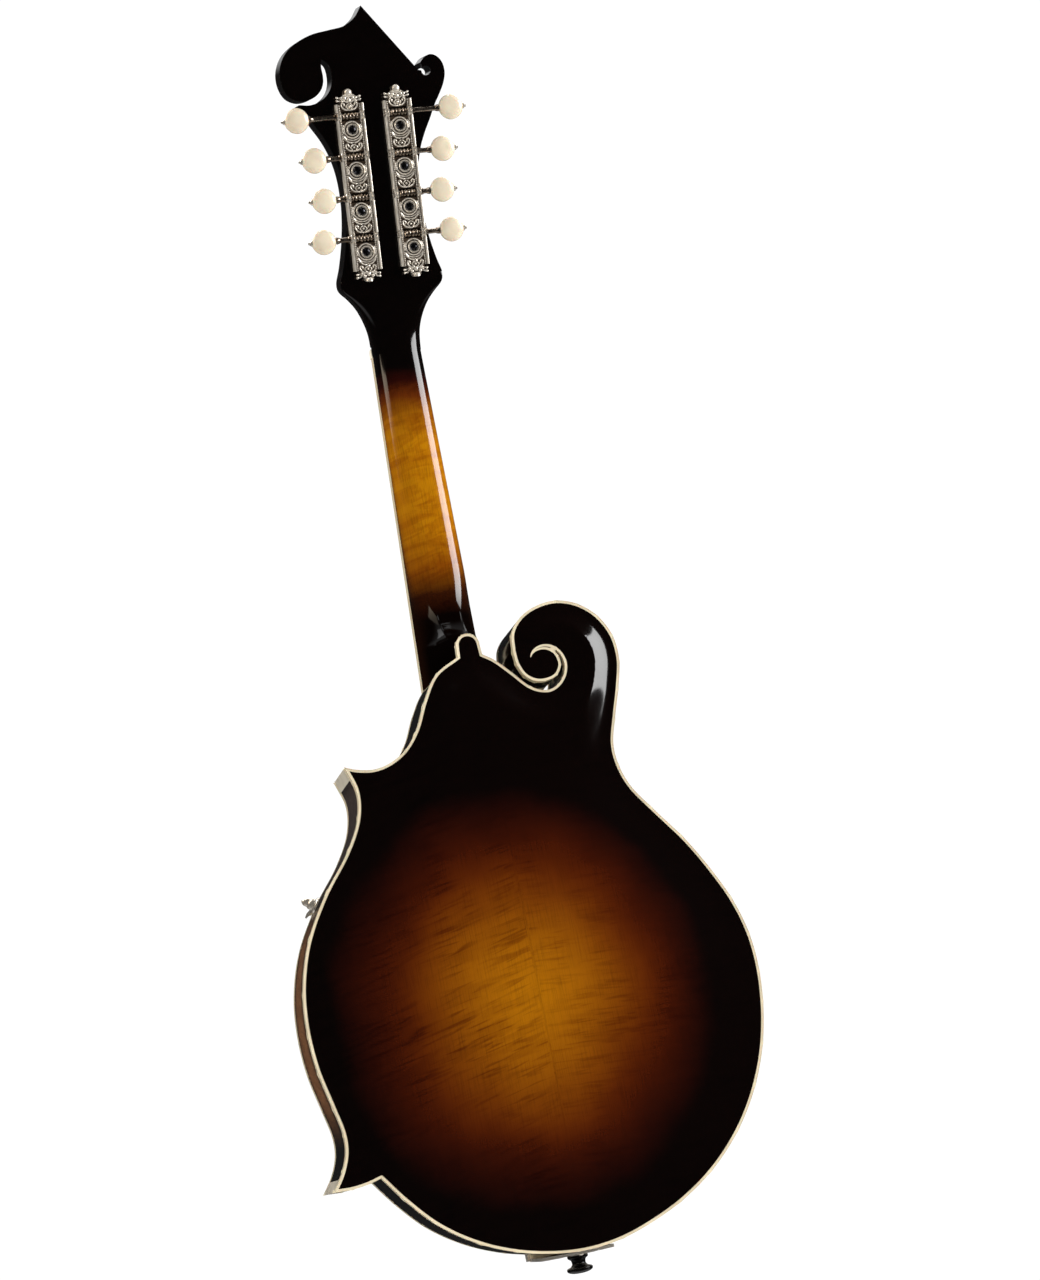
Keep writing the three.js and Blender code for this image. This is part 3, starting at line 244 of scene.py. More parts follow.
def sunburst(name, centre, radii, stops, figure, grain_pitch):
    """A glossy burst round a centre, with curly figure and fine grain along the length."""
    shade = Shade(name, **LACQUER)
    x, y, z = shade.axes()
    dx = shade.times(shade.minus(x, centre[0]), 1 / radii[0])
    dz = shade.times(shade.minus(z, centre[1]), 1 / radii[1])
    far = shade.maths("SQRT", shade.plus(shade.maths("POWER", dx, 2.0),
                                         shade.maths("POWER", dz, 2.0)))
    drift = shade.noise(shade.join(x, 0.0, z), 0.018, 3.0)
    far = shade.plus(far, shade.times(shade.minus(drift, 0.5), 0.22))
    across = shade.maths("ABSOLUTE", x)
    side = shade.band(x, -6.0, 6.0)
    mottled = shade.noise(shade.join(shade.times(across, 0.03), 0.0,
                                     shade.times(z, 0.02)), 1.0, 2.0)
    base = shade.ramp(far, stops, "B_SPLINE")
    if figure:
        book = shade.band(x, -1.0, 1.0)
        tilt = shade.plus(0.03, shade.times(book, 0.2))
        shift = shade.times(book, 6.0)
        broad = flames(shade, across, z, tilt, 40.0, 7.0, shift)
        thin = shade.maths("MAXIMUM", streaks(shade, across, z, tilt, 26.0, 2.5,
                                              shade.plus(shift, 2.0)),
                           streaks(shade, across, z, tilt, 20.0, 1.8, shade.plus(shift, 5.0)))
        curl = shade.plus(shade.times(broad, 0.34), shade.times(thin, 0.6))
        strength = shade.plus(0.56, shade.times(side, 0.3))
        strength = shade.times(strength, shade.band(mottled, 0.3, 0.62))
        dark = shade.mix(1.0, base, (0.42, 0.27, 0.15), "MULTIPLY")
        base = shade.mix(shade.times(curl, strength), base, dark)
    flecks = shade.noise(shade.join(shade.times(x, 1 / grain_pitch), 0.0,
                                    shade.times(z, 0.05)), 1.0, 4.0, 0.65)
    streak = shade.ramp(flecks, [(0.3, grey(0.74)), (0.55, grey(1.0)), (0.8, grey(1.12))])
    base = shade.mix(1.0, base, streak, "MULTIPLY")
    seam = shade.band(shade.maths("ABSOLUTE", x), 0.15, 0.5)
    base = shade.mix(1.0, base, shade.ramp(seam, [(0.0, grey(0.9)), (1.0, grey(1.0))]), "MULTIPLY")
    shade.colour(base)
    orange_peel = shade.noise(shade.join(x, y, z), 0.09, 2.0)
    shade.bump(orange_peel, 0.05)
    return shade.material


BURST_STOPS = [(0.0, (0.32, 0.112, 0.001)), (0.2, (0.275, 0.089, 0.001)),
               (0.4, (0.168, 0.043, 0.001)), (0.56, (0.092, 0.0155, 0.0006)),
               (0.68, (0.042, 0.005, 0.0005)), (0.8, (0.021, 0.0026, 0.0006)),
               (0.92, (0.006, 0.0009, 0.0005)), (1.0, (0.0009, 0.0004, 0.0003))]
TOP_STOPS = [(0.0, (0.60, 0.25, 0.02)), (0.35, (0.50, 0.18, 0.012)), (0.6, (0.24, 0.055, 0.004)),
             (0.8, (0.07, 0.011, 0.002)), (0.95, (0.008, 0.002, 0.0008)),
             (1.0, (0.0012, 0.0006, 0.0004))]

back_finish = sunburst("flamed_maple_back", (7, 149), (108, 117), BURST_STOPS, True, 0.55)
top_finish = sunburst("spruce_top", (0, 158), (120, 122), TOP_STOPS, False, 0.8)


def neck_finish():
    """Black at the body and the headstock, amber flamed maple between."""
    shade = Shade("neck_maple", **LACQUER)
    x, y, z = shade.axes()
    wander = shade.times(shade.minus(shade.noise(shade.join(x, y, z), 0.03), 0.5), 12.0)
    height = shade.plus(z, wander)
    up = shade.node("ShaderNodeMapRange", {0: height, 1: 340.0, 2: 560.0, 3: 0.0, 4: 1.0})
    base = shade.ramp(up, [
        (0.0, (0.0008, 0.0004, 0.0003)), (0.15, (0.0016, 0.0006, 0.0004)),
        (0.22, (0.026, 0.005, 0.0006)), (0.3, (0.22, 0.064, 0.0008)), (0.38, (0.35, 0.132, 0.001)),
        (0.62, (0.36, 0.138, 0.001)), (0.7, (0.25, 0.086, 0.001)), (0.755, (0.09, 0.017, 0.001)),
        (0.795, (0.018, 0.0018, 0.0008)), (0.835, (0.0012, 0.0004, 0.0003))], "LINEAR")
    around = shade.plus(x, shade.times(y, 0.6))
    curl = flames(shade, around, z, 0.22, 16.0, 5.0, 5.0)
    broad = flames(shade, around, z, 0.12, 30.0, 11.0, 1.0)
    dark = shade.mix(1.0, base, (0.62, 0.42, 0.2), "MULTIPLY")
    amount = shade.plus(shade.times(curl, 0.4), shade.times(broad, 0.35))
    base = shade.mix(amount, base, dark)
    flecks = shade.noise(shade.join(shade.times(x, 1.6), shade.times(y, 1.6),
                                    shade.times(z, 0.06)), 1.0, 4.0, 0.6)
    base = shade.mix(1.0, base, shade.ramp(flecks, [(0.3, grey(0.78)), (0.6, grey(1.05))]),
                     "MULTIPLY")
    edge = shade.band(y, -30.0, -14.0)
    base = shade.mix(shade.minus(1.0, edge), base, (0.006, 0.002, 0.001))
    shade.colour(base)
    gloss = shade.band(z, 368.0, 392.0)
    shade.put(shade.shader.inputs["Coat Weight"], shade.maths("MULTIPLY_ADD", gloss, 0.92, 0.08))
    shade.bump(shade.noise(shade.join(x, y, z), 0.09, 2.0), 0.04)
    return shade.material


def rim_finish():
    """Dark maple ribs with a brown glow in the middle of each lower bout, and a painted grey
    reflection on the treble upper bout.
    """
    shade = Shade("dark_maple", **LACQUER)
    x, y, z = shade.axes()
    away = shade.maths("ABSOLUTE", shade.times(shade.minus(z, 158.0), 1 / 72.0))
    glow = shade.minus(1.0, shade.band(away, 0.5, 1.0))
    edge = shade.band(shade.maths("ABSOLUTE", y), 6.0, 18.0)
    glow = shade.times(glow, shade.minus(1.0, shade.times(edge, 0.7)))
    outer = shade.band(shade.maths("ABSOLUTE", x), 80.0, 112.0)
    glow = shade.times(glow, outer)
    ripple = flames(shade, y, z, 0.15, 24.0, 4.6, 2.0)
    brown = shade.mix(shade.times(ripple, 0.6), (0.19, 0.083, 0.034), (0.12, 0.048, 0.018))
    base = shade.mix(glow, (0.0012, 0.0007, 0.0006), brown)
    # Painted reflection: a lighter grey patch on the ribs of the treble upper bout, on that side
    # only.
    painted_shoulder_sheen = shade.times(shade.band(z, 205.0, 232.0),
                           shade.minus(1.0, shade.band(z, 276.0, 288.0)))
    painted_shoulder_sheen = shade.times(painted_shoulder_sheen, shade.band(x, 62.0, 74.0))
    base = shade.mix(shade.times(painted_shoulder_sheen, 0.8), base, (0.055, 0.040, 0.036))
    shade.colour(base)
    shade.bump(shade.noise(shade.join(x, y, z), 0.09, 2.0), 0.05)
    return shade.material


def plain_finish(name, light, dark, scale, stretch=(1, 1, 1), bump_mm=0.02, rough=(0.3, 0.4),
                 **settings):
    """A material whose colour and roughness wander between two values."""
    shade = Shade(name, **settings)
    x, y, z = shade.axes()
    vector = shade.join(shade.times(x, stretch[0]), shade.times(y, stretch[1]),
                        shade.times(z, stretch[2]))
    cloud = shade.noise(vector, scale, 4.0, 0.6)
    shade.colour(shade.mix(shade.band(cloud, 0.35, 0.65), dark, light))
    shade.roughness(shade.node("ShaderNodeMapRange", {0: cloud, 1: 0.3, 2: 0.7, 3: rough[0],
                                                      4: rough[1]}))
    shade.bump(shade.noise(vector, scale * 3, 3.0, 0.6), bump_mm)
    return shade.material


def binding_finish():
    """Aged cream plastic with faint lines along its edge and a warmer tint in places."""
    shade = Shade("binding_cream", Coat_Weight=0.6, Coat_Roughness=0.08)
    x, y, z = shade.axes()
    cloud = shade.noise(shade.join(x, y, z), 0.05, 3.0)
    base = shade.mix(shade.band(cloud, 0.3, 0.7), (0.72, 0.63, 0.44), (0.62, 0.53, 0.36))
    lines = shade.noise(shade.join(shade.times(x, 0.05), shade.times(y, 3.2),
                                   shade.times(z, 0.05)), 1.0, 2.0)
    base = shade.mix(1.0, base, shade.ramp(lines, [(0.35, grey(0.9)), (0.6, grey(1.0))]),
                     "MULTIPLY")
    shade.colour(base)
    shade.roughness(0.35)
    shade.shader.inputs["Subsurface Weight"].default_value = 0.08
    shade.shader.inputs["Subsurface Scale"].default_value = 0.002
    shade.bump(shade.noise(shade.join(x, y, z), 0.4, 2.0), 0.02)
    return shade.material


def nickel_finish(name, engraved):
    """Polished nickel; engraved work keeps dark tarnish in its low places."""
    shade = Shade(name, Metallic=0.6 if engraved else 0.75, Specular_IOR_Level=0.9)
    x, y, z = shade.axes()
    vector = shade.join(x, y, z)
    cloud = shade.noise(vector, 0.35, 4.0, 0.6)
    base = shade.mix(shade.band(cloud, 0.3, 0.7), (0.93, 0.86, 0.76), (0.74, 0.67, 0.57))
    rough = shade.node("ShaderNodeMapRange", {0: cloud, 1: 0.3, 2: 0.7, 3: 0.10, 4: 0.2})
    if engraved:
        depth = shade.node("ShaderNodeAttribute", output=2, attribute_name="polish")
        tarnish = shade.mix(shade.band(cloud, 0.3, 0.7), (0.055, 0.034, 0.02), (0.12, 0.08, 0.05))
        base = shade.mix(shade.band(depth, 0.12, 0.8), tarnish, base)
        rough = shade.plus(rough, shade.times(shade.minus(1.0, depth), 0.22))
    shade.colour(base)
    shade.roughness(rough)
    shade.bump(shade.noise(vector, 2.2, 3.0, 0.6), 0.012)
    return shade.material


def wire_finish(name, light, dark, pitch):
    """Wire; pitch is that of its winding, or 0 for plain wire."""
    shade = Shade(name, Metallic=1.0)
    x, y, z = shade.axes()
    cloud = shade.noise(shade.join(x, y, z), 0.2, 3.0)
    shade.colour(shade.mix(shade.band(cloud, 0.35, 0.65), dark, light))
    shade.roughness(shade.node("ShaderNodeMapRange", {0: cloud, 1: 0.3, 2: 0.7, 3: 0.22, 4: 0.34}))
    if pitch:
        turn = shade.times(shade.plus(z, shade.times(y, 0.2)), 2 * math.pi / pitch)
        shade.bump(shade.maths("SINE", turn), 0.05)
    else:
        shade.bump(shade.noise(shade.join(x, y, shade.times(z, 0.1)), 3.0), 0.01)
    return shade.material


def pearl_finish():
    """Mother-of-pearl: pale, with soft coloured patches."""
    shade = Shade("pearl", Coat_Weight=1.0, Coat_Roughness=0.05)
    x, y, z = shade.axes()
    cloud = shade.noise(shade.join(x, y, z), 0.5, 3.0, 0.6, 1.2)
    shade.colour(shade.ramp(cloud, [(0.25, (0.62, 0.70, 0.66)), (0.45, (0.82, 0.80, 0.74)),
                                    (0.6, (0.80, 0.70, 0.72)), (0.8, (0.66, 0.76, 0.80))]))
    shade.roughness(0.25)
    return shade.material


neck_wood = neck_finish()
rib_wood = rim_finish()
cream = binding_finish()
cap_cream = plain_finish("cap_cream", (0.60, 0.55, 0.45), (0.46, 0.42, 0.34), 0.12, bump_mm=0.03,
                         rough=(0.3, 0.42), Coat_Weight=0.5, Coat_Roughness=0.1)
button_cream = plain_finish("button_cream", (0.67, 0.59, 0.445), (0.61, 0.53, 0.40), 0.10,
                            bump_mm=0.02,
                            rough=(0.28, 0.36), Coat_Weight=0.5, Coat_Roughness=0.12,
                            Subsurface_Weight=0.25, Subsurface_Scale=0.004)
ebony = plain_finish("ebony", (0.018, 0.014, 0.012), (0.007, 0.006, 0.006), 0.8, (1, 1, 0.06), 0.05,
                     (0.38, 0.5))
bone = plain_finish("bone", (0.82, 0.76, 0.62), (0.74, 0.67, 0.52), 0.5, (0.2, 1, 1), 0.02,
                    (0.35, 0.45))
black_gloss = plain_finish("black_gloss", (0.0022, 0.0018, 0.0018), (0.0012, 0.001, 0.001), 0.1,
                           bump_mm=0.02,
                           rough=(0.2, 0.26), Coat_Weight=0.8, Coat_Roughness=0.03,
                           Specular_IOR_Level=0.05)
raw_wood = plain_finish("raw_wood", (0.52, 0.34, 0.17), (0.38, 0.23, 0.11), 0.5, (1, 1, 0.08), 0.12,
                        (0.6, 0.75))
nickel = nickel_finish("nickel", False)
engraved_nickel = nickel_finish("engraved_nickel", True)
steel = wire_finish("steel", (0.62, 0.60, 0.57), (0.46, 0.44, 0.41), 0)
shaft_steel = plain_finish("shaft_steel", (0.52, 0.44, 0.36), (0.34, 0.27, 0.21), 0.4, bump_mm=0.02,
                           rough=(0.2, 0.34), Metallic=1.0)
wound_bronze = wire_finish("wound_bronze", (0.72, 0.50, 0.27), (0.52, 0.34, 0.17), 0.42)
screw_black = plain_finish("screw_black", (0.10, 0.10, 0.11), (0.05, 0.05, 0.055), 0.6,
                           bump_mm=0.02,
                           rough=(0.16, 0.26), Metallic=1.0)
pearl = pearl_finish()


# ---------------------------------------------------------------- pieces

def finish_piece(name, bm, material, body=BODY, replaces=(), place=UPRIGHT, bevel=0.0,
                 bevel_angle=35, crease=38, segments=2):
    """Turns a bmesh in millimetres into a named piece that rides on a body."""
    bmesh.ops.remove_doubles(bm, verts=bm.verts, dist=1e-4)
    if bevel:
        sharp = [edge for edge in bm.edges
                 if len(edge.link_faces) == 2
                 and edge.calc_face_angle(0) > math.radians(bevel_angle)]
        bmesh.ops.bevel(bm, geom=sharp, offset=bevel, segments=segments, affect="EDGES",
                        profile=0.5,
                        clamp_overlap=True)
    bmesh.ops.recalc_face_normals(bm, faces=bm.faces)
    bmesh.ops.transform(bm, matrix=Matrix.Scale(MM, 4) @ place, verts=bm.verts)
    mesh = bpy.data.meshes.new(name)
    bm.to_mesh(mesh)
    bm.free()
    mesh.shade_smooth()
    mesh.set_sharp_from_angle(angle=math.radians(crease))
    mesh.materials.append(material)
    piece = bpy.data.objects.new(name, mesh)
    bpy.context.scene.collection.objects.link(piece)
    if bevel:
        piece.modifiers.new("weighted", "WEIGHTED_NORMAL").keep_sharp = True
    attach(piece, body)
    if replaces:
        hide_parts(*replaces)
    return piece


def add_faces(bm, points, faces, place=UPRIGHT):
    """Adds vertices and faces to a bmesh, which may hold others already."""
    made = [bm.verts.new(place @ Vector(point)) for point in points]
    for face in faces:
        bm.faces.new([made[i] for i in face])
    return made


def loft(bm, rings, place=UPRIGHT, closed=False):
    """Rings of points joined in order; the ends are capped unless the rings close on themselves."""
    count = len(rings[0])
    points = [point for ring in rings for point in ring]
    faces = []
    spans = len(rings) if closed else len(rings) - 1
    for r in range(spans):
        low = r * count
        high = ((r + 1) % len(rings)) * count
        for i in range(count):
            j = (i + 1) % count
            faces.append((low + i, low + j, high + j, high + i))
    if not closed:
        faces.append(tuple(range(count)))
        faces.append(tuple(range((len(rings) - 1) * count, len(rings) * count)))
    add_faces(bm, points, faces, place)


def turned(bm, profile, axis, at=(0, 0, 0), segments=32, place=UPRIGHT, flip=False):
    """A turned piece from [radius, along] pairs, closed or with both ends on the axis."""
    ring_profile = [p for p in profile if p[0] > 1e-6]
    sign = -1 if flip else 1
    rings = []
    for radius, along in ring_profile:
        ring = []
        for k in range(segments):
            angle = 2 * math.pi * k / segments
            a, b = radius * math.cos(angle), radius * math.sin(angle)
            local = {"x": (along * sign, a, b), "y": (a, along * sign, b),
                     "z": (a, b, along * sign)}[axis]
            ring.append([local[i] + at[i] for i in range(3)])
        rings.append(ring)
    loft(bm, rings, place, closed=profile[0] == profile[-1])


def inside(outline, points):
    """Which of the points lie in an outline."""
    x, z = points[:, 0], points[:, 1]
    result = np.zeros(len(points), dtype=bool)
    for a, b in zip(outline, np.roll(outline, 1, axis=0)):
        if a[1] == b[1]:
            continue
        crosses = (a[1] > z) != (b[1] > z)
        result ^= crosses & (x < a[0] + (b[0] - a[0]) * (z - a[1]) / (b[1] - a[1]))
    return result


def distance_to(outline, points, closed=True):
    """Distance of each point from an outline."""
    best = np.full(len(points), np.inf)
    ends = np.roll(outline, -1, axis=0) if closed else outline[1:]
    starts = outline if closed else outline[:-1]
    for a, b in zip(starts, ends):
        span = b - a
        t = np.clip((points - a) @ span / max(span @ span, 1e-12), 0, 1)
        best = np.minimum(best, np.linalg.norm(points - a - t[:, None] * span, axis=1))
    return best


def fill(loops, extra=None):
    """Triangles that fill the first loop except for the others, as vertices and index triples."""
    points = np.vstack(loops + ([extra] if extra is not None else []))
    edges = []
    start = 0
    for loop in loops:
        edges += [(start + i, start + (i + 1) % len(loop)) for i in range(len(loop))]
        start += len(loop)
    verts, _, faces, origins, _, _ = delaunay_2d_cdt([Vector(p) for p in points], edges, [], 0,
                                                     1e-5)
    verts = np.array([(v.x, v.y) for v in verts])
    faces = np.array(faces)
    middles = verts[faces].mean(axis=1)
    kept = inside(loops[0], middles)
    for hole in loops[1:]:
        kept &= ~inside(hole, middles)
    index = {}
    for out, sources in enumerate(origins):
        for source in sources:
            index[source] = out
    return verts, faces[kept], index


def closed_faces(loops, faces, index, count):
    """Faces of a solid from a filled sheet, its copy count vertices on, and walls on the loops."""
    solid = [tuple(int(i) for i in face) for face in faces]
    solid += [tuple(int(i) + count for i in face[::-1]) for face in faces]
    start = 0
    for loop in loops:
        for i in range(len(loop)):
            a, b = index[start + i], index[start + (i + 1) % len(loop)]
            if a != b:
                solid.append((a, b, b + count, a + count))
        start += len(loop)
    return solid


def slab(bm, loops, low, high, extra=None, place=UPRIGHT):
    """A solid over loops in X and Z between two heights in Y, numbers or functions."""
    verts, faces, index = fill(loops, extra)
    heights = [h(verts[:, 0], verts[:, 1]) if callable(h) else np.full(len(verts), float(h))
               for h in (low, high)]
    points = [(x, y, z) for level in heights for (x, z), y in zip(verts, level)]
    add_faces(bm, points, closed_faces(loops, faces, index, len(verts)), place)


def catmull(places, steps):
    """Points along a smooth curve through places, without the last one."""
    places = [np.array(p, dtype=float) for p in places]
    padded = [2 * places[0] - places[1], *places, 2 * places[-1] - places[-2]]
    points = []
    for p0, p1, p2, p3 in zip(padded, padded[1:], padded[2:], padded[3:]):
        d0, d1, d2 = (math.sqrt(np.linalg.norm(b - a)) for a, b in ((p0, p1), (p1, p2), (p2, p3)))
        t1 = ((p1 - p0) / d0 - (p2 - p0) / (d0 + d1) + (p2 - p1) / d1) * d1
        t2 = ((p2 - p1) / d1 - (p3 - p1) / (d1 + d2) + (p3 - p2) / d2) * d1
        for i in range(steps):
            t = i / steps
            points.append(p1 + t1 * t + (-3 * p1 + 3 * p2 - 2 * t1 - t2) * t ** 2
                          + (2 * p1 - 2 * p2 + t1 + t2) * t ** 3)
    return points


def inset(outline, distance):
    """The outline moved inwards, without loops at tight bends."""
    before = outline - np.roll(outline, 1, axis=0)
    after = np.roll(outline, -1, axis=0) - outline
    before /= np.linalg.norm(before, axis=1)[:, None]
    after /= np.linalg.norm(after, axis=1)[:, None]
    normal = np.column_stack([-(before[:, 1] + after[:, 1]), before[:, 0] + after[:, 0]])
    normal /= np.linalg.norm(normal, axis=1)[:, None]
    reach = np.maximum(0.35, (normal * np.column_stack([-before[:, 1], before[:, 0]])).sum(axis=1))
    moved = outline + normal * (distance / reach)[:, None]
    return moved[distance_to(outline, moved) > 0.97 * abs(distance)]


# ---------------------------------------------------------------- body outline

LOWER_TIP = (127, 67)
UPPER_TIP = (81, 289.5)
NOTCH = (101, 69.5)
TREBLE_ROOT = (7, 341.5)
HEEL_BUTTON_RADIUS = 6.6
HEEL_BUTTON_Z = 347.4


def body_outline(with_button):
    points = catmull([NOTCH, (108, 67.7), (117, 66.6), LOWER_TIP], 6)
    points += catmull([LOWER_TIP, (121, 76), (117.2, 86), (116.8, 96), (120, 111), (124.5, 131),
                       (126.2, 152), (124.5, 174), (117.5, 198), (104, 222), (88, 243), (79, 260),
                       (76.8, 275),
                       UPPER_TIP], 9)
    points += catmull([UPPER_TIP, (73.5, 287), (65, 286), (56, 288), (46, 294), (37.5, 304.5),
                       (30, 320), (21, 333.5), TREBLE_ROOT], 7)
    points.append(np.array(TREBLE_ROOT, dtype=float))
    if with_button:
        for i in range(25):
            angle = math.pi * i / 24
            points.append(np.array([HEEL_BUTTON_RADIUS * math.cos(angle),
                                    HEEL_BUTTON_Z + HEEL_BUTTON_RADIUS * math.sin(angle)]))
    points += catmull([(-7, 341), (-13, 337), (-22, 328), (-30, 319.4), (-36, 316.1), (-42, 315.5),
                       (-47.6, 318.4), (-51.5, 323.5), (-52.8, 329.5), (-51.6, 334.4),
                       (-49.2, 337.8)], 6)
    points += catmull([(-48.4, 337.4), (-50.2, 333.4), (-50.6, 328.5), (-47.2, 323), (-41, 320.8),
                       (-34.4, 321.5), (-29, 325.3), (-25.8, 332), (-24.9, 340)], 6)
    points += catmull([(-24.9, 340), (-26.5, 351), (-33, 359), (-43, 364), (-55, 365.5),
                       (-67, 361.8), (-77, 353.5), (-83.5, 341), (-84.6, 327), (-81, 311.5),
                       (-75.5, 294.5), (-71.2, 279), (-71.8, 267), (-76, 254.5), (-87, 238.5),
                       (-101, 219.5), (-112, 200.5), (-121, 181), (-126, 162), (-127.3, 143),
                       (-125.2, 121), (-119.5, 98.5), (-110, 77.5), (-96.5, 58), (-79, 41),
                       (-59, 28), (-38, 19), (-19, 13.7), (0, TAIL_Z), (19, 13.9), (38, 18.7),
                       (57, 27), (75, 39.3), (89.5, 54.5), NOTCH], 8)
    return np.array(points)


RIB_OUTLINE = body_outline(False)
BACK_OUTLINE = body_outline(True)

FINE_FROM = 255.0          # the fine grid round the scroll starts here
FINE_PITCH = 1.1
FIELD_LOW = np.array([-132.0, 6.0])
FIELD_PITCH = 3.0
FIELD_SIZE = (90, 122)


def field_places():
    i, j = np.meshgrid(np.arange(FIELD_SIZE[0]), np.arange(FIELD_SIZE[1]), indexing="ij")
    return np.column_stack([FIELD_LOW[0] + i.ravel() * FIELD_PITCH, FIELD_LOW[1]
                            + j.ravel() * FIELD_PITCH])


def membrane():
    """A membrane held at the outline and pushed up evenly, 1 at its highest."""
    mask = inside(RIB_OUTLINE, field_places()).reshape(FIELD_SIZE)
    height = np.zeros(FIELD_SIZE)
    i, j = np.indices(FIELD_SIZE)
    mask[0, :] = mask[-1, :] = mask[:, 0] = mask[:, -1] = False
    for _ in range(900):
        for colour in (0, 1):
            around = (np.roll(height, 1, 0) + np.roll(height, -1, 0) + np.roll(height, 1, 1)
                      + np.roll(height, -1, 1) + 1) / 4
            cells = mask & ((i + j) % 2 == colour)
            height[cells] += 1.9 * (around[cells] - height[cells])
    return height / height.max()


def sampled(field, x, z):
    """A field's value at places between its nodes."""
    u = np.clip((x - FIELD_LOW[0]) / FIELD_PITCH, 0, FIELD_SIZE[0] - 1.001)
    v = np.clip((z - FIELD_LOW[1]) / FIELD_PITCH, 0, FIELD_SIZE[1] - 1.001)
    i, j = np.floor(u).astype(int), np.floor(v).astype(int)
    du, dv = u - i, v - j
    return ((field[i, j] * (1 - du) + field[i + 1, j] * du) * (1 - dv)
            + (field[i, j + 1] * (1 - du) + field[i + 1, j + 1] * du) * dv)


BULGE = membrane()
RIDGE_HEIGHT = 5.0
RIDGE_REACH = 18.0
SCROLL_EYE = (-39, 330)


def arching(t):
    return 0.35 * t + 0.65 * t * t * (3 - 2 * t)


def outer_height(x, z, rise):
    """Outer surface of a plate: the arch, and the ridge into the scroll and the heel."""
    edge = distance_to(BACK_OUTLINE, np.column_stack([x, z]))
    within = np.clip((edge - 3) / RIDGE_REACH, 0, 1)
    upper = np.clip((z - 262) / 50, 0, 1)
    upper = upper * upper * (3 - 2 * upper)
    away = np.clip((np.hypot(x - SCROLL_EYE[0], z - SCROLL_EYE[1]) - 10) / 9, 0, 1)
    upper = upper * away * away * (3 - 2 * away)
    ridge = RIDGE_HEIGHT * upper * (1 - np.cos(math.pi * within)) / 2
    return EDGE_Y + rise * arching(sampled(BULGE, x, z)) + ridge


def inner_height(x, z, rise):
    flat = 0.09
    t = np.maximum(0, sampled(BULGE, x, z) - flat) / (1 - flat)
    return RIM_Y + 0.15 + (EDGE_Y + rise - PLATE_THICKNESS - RIM_Y - 0.15) * arching(t)


def grid_within(outline, clearance, holes=()):
    """Places inside an outline, clear of its edge and holes, close together at the scroll."""
    places = field_places()
    x, z = np.meshgrid(np.arange(-90, 90, FINE_PITCH), np.arange(FINE_FROM, 368, FINE_PITCH))
    places = np.vstack([places[places[:, 1] < FINE_FROM - 0.8],
                        np.column_stack([x.ravel(), z.ravel()])])
    kept = inside(outline, places) & (distance_to(outline, places) > clearance)
    for hole in holes:
        kept &= ~inside(hole, places) & (distance_to(hole, places) > clearance * 0.7)
    return places[kept]


# ---------------------------------------------------------------- body

def plate(name, outline, rise, side, material, node, holes=()):
    edge = inset(outline, BINDING_THICKNESS - 0.05)
    bm = bmesh.new()
    extra = grid_within(edge, 0.9, holes=holes)
    low = lambda x, z: side * inner_height(x, z, rise)
    high = lambda x, z: side * outer_height(x, z, rise)
    slab(bm, [edge, *holes], low, high, extra)
    return finish_piece(name, bm, material, replaces=[node], crease=50)


def sound_hole(side):
    """A slanting S with an eye at each end and two small nicks halfway."""
    centre = np.array(catmull([(41, 203), (46.5, 211.5), (50.6, 205), (50, 192), (52, 175),
                               (57, 158), (59.5, 142), (64.5, 137.2), (69.5, 145)], 8))
    tangent = np.gradient(centre, axis=0)
    tangent /= np.linalg.norm(tangent, axis=1)[:, None]
    normal = np.column_stack([-tangent[:, 1], tangent[:, 0]])
    t = np.linspace(0, 1, len(centre))
    width = 1.3 + 1.2 * np.sin(np.pi * t) ** 2
    nick = 0.9 * np.exp(-((t - 0.5) / 0.02) ** 2)
    left = centre + normal * (width + nick)[:, None]
    right = centre - normal * (width + nick)[:, None]

    def eye(middle, radius, start, end):
        away = [math.atan2(p[1] - middle[1], p[0] - middle[0]) for p in (start, end)]
        turn = (away[1] - away[0]) % (2 * math.pi)
        return [np.array([middle[0] + radius * math.cos(away[0] + turn * k / 20),
                          middle[1] + radius * math.sin(away[0] + turn * k / 20)])
                          for k in range(1, 20)]

    upper = eye((40.5, 203.5), 4.0, left[2], right[2])
    lower = eye((69.5, 146.5), 5.2, right[-3], left[-3])
    points = np.array([*right[2:-2], *lower, *left[2:-2][::-1], *upper])
    return points if side > 0 else (points * np.array([-1, 1]))[::-1]


def tidy_loop(points, shortest=0.25):
    """A loop without points that nearly coincide."""
    kept = [points[0]]
    for point in points[1:]:
        if np.linalg.norm(point - kept[-1]) > shortest:
            kept.append(point)
    if np.linalg.norm(kept[0] - kept[-1]) < shortest:
        kept.pop()
    return np.array(kept)


HOLES = [tidy_loop(sound_hole(1)), tidy_loop(sound_hole(-1))]

plate("carved_back", BACK_OUTLINE, BACK_ARCH, 1, back_finish, "back_plate")
plate("carved_top", RIB_OUTLINE, TOP_ARCH, -1, top_finish, "top_plate", HOLES)


def binding(name, outline, side, node):
    bm = bmesh.new()
    outer = tidy_loop(outline, 0.05)
    slab(bm, [outer, tidy_loop(inset(outline, BINDING_THICKNESS), 0.05)], side * RIM_Y,
         side * (EDGE_Y + 0.05))
    return finish_piece(name, bm, cream, replaces=[node], bevel=0.3,
                        bevel_angle=50)


binding("edge_binding_back", BACK_OUTLINE, 1, "back_binding")
binding("edge_binding_front", RIB_OUTLINE, -1, "top_binding")


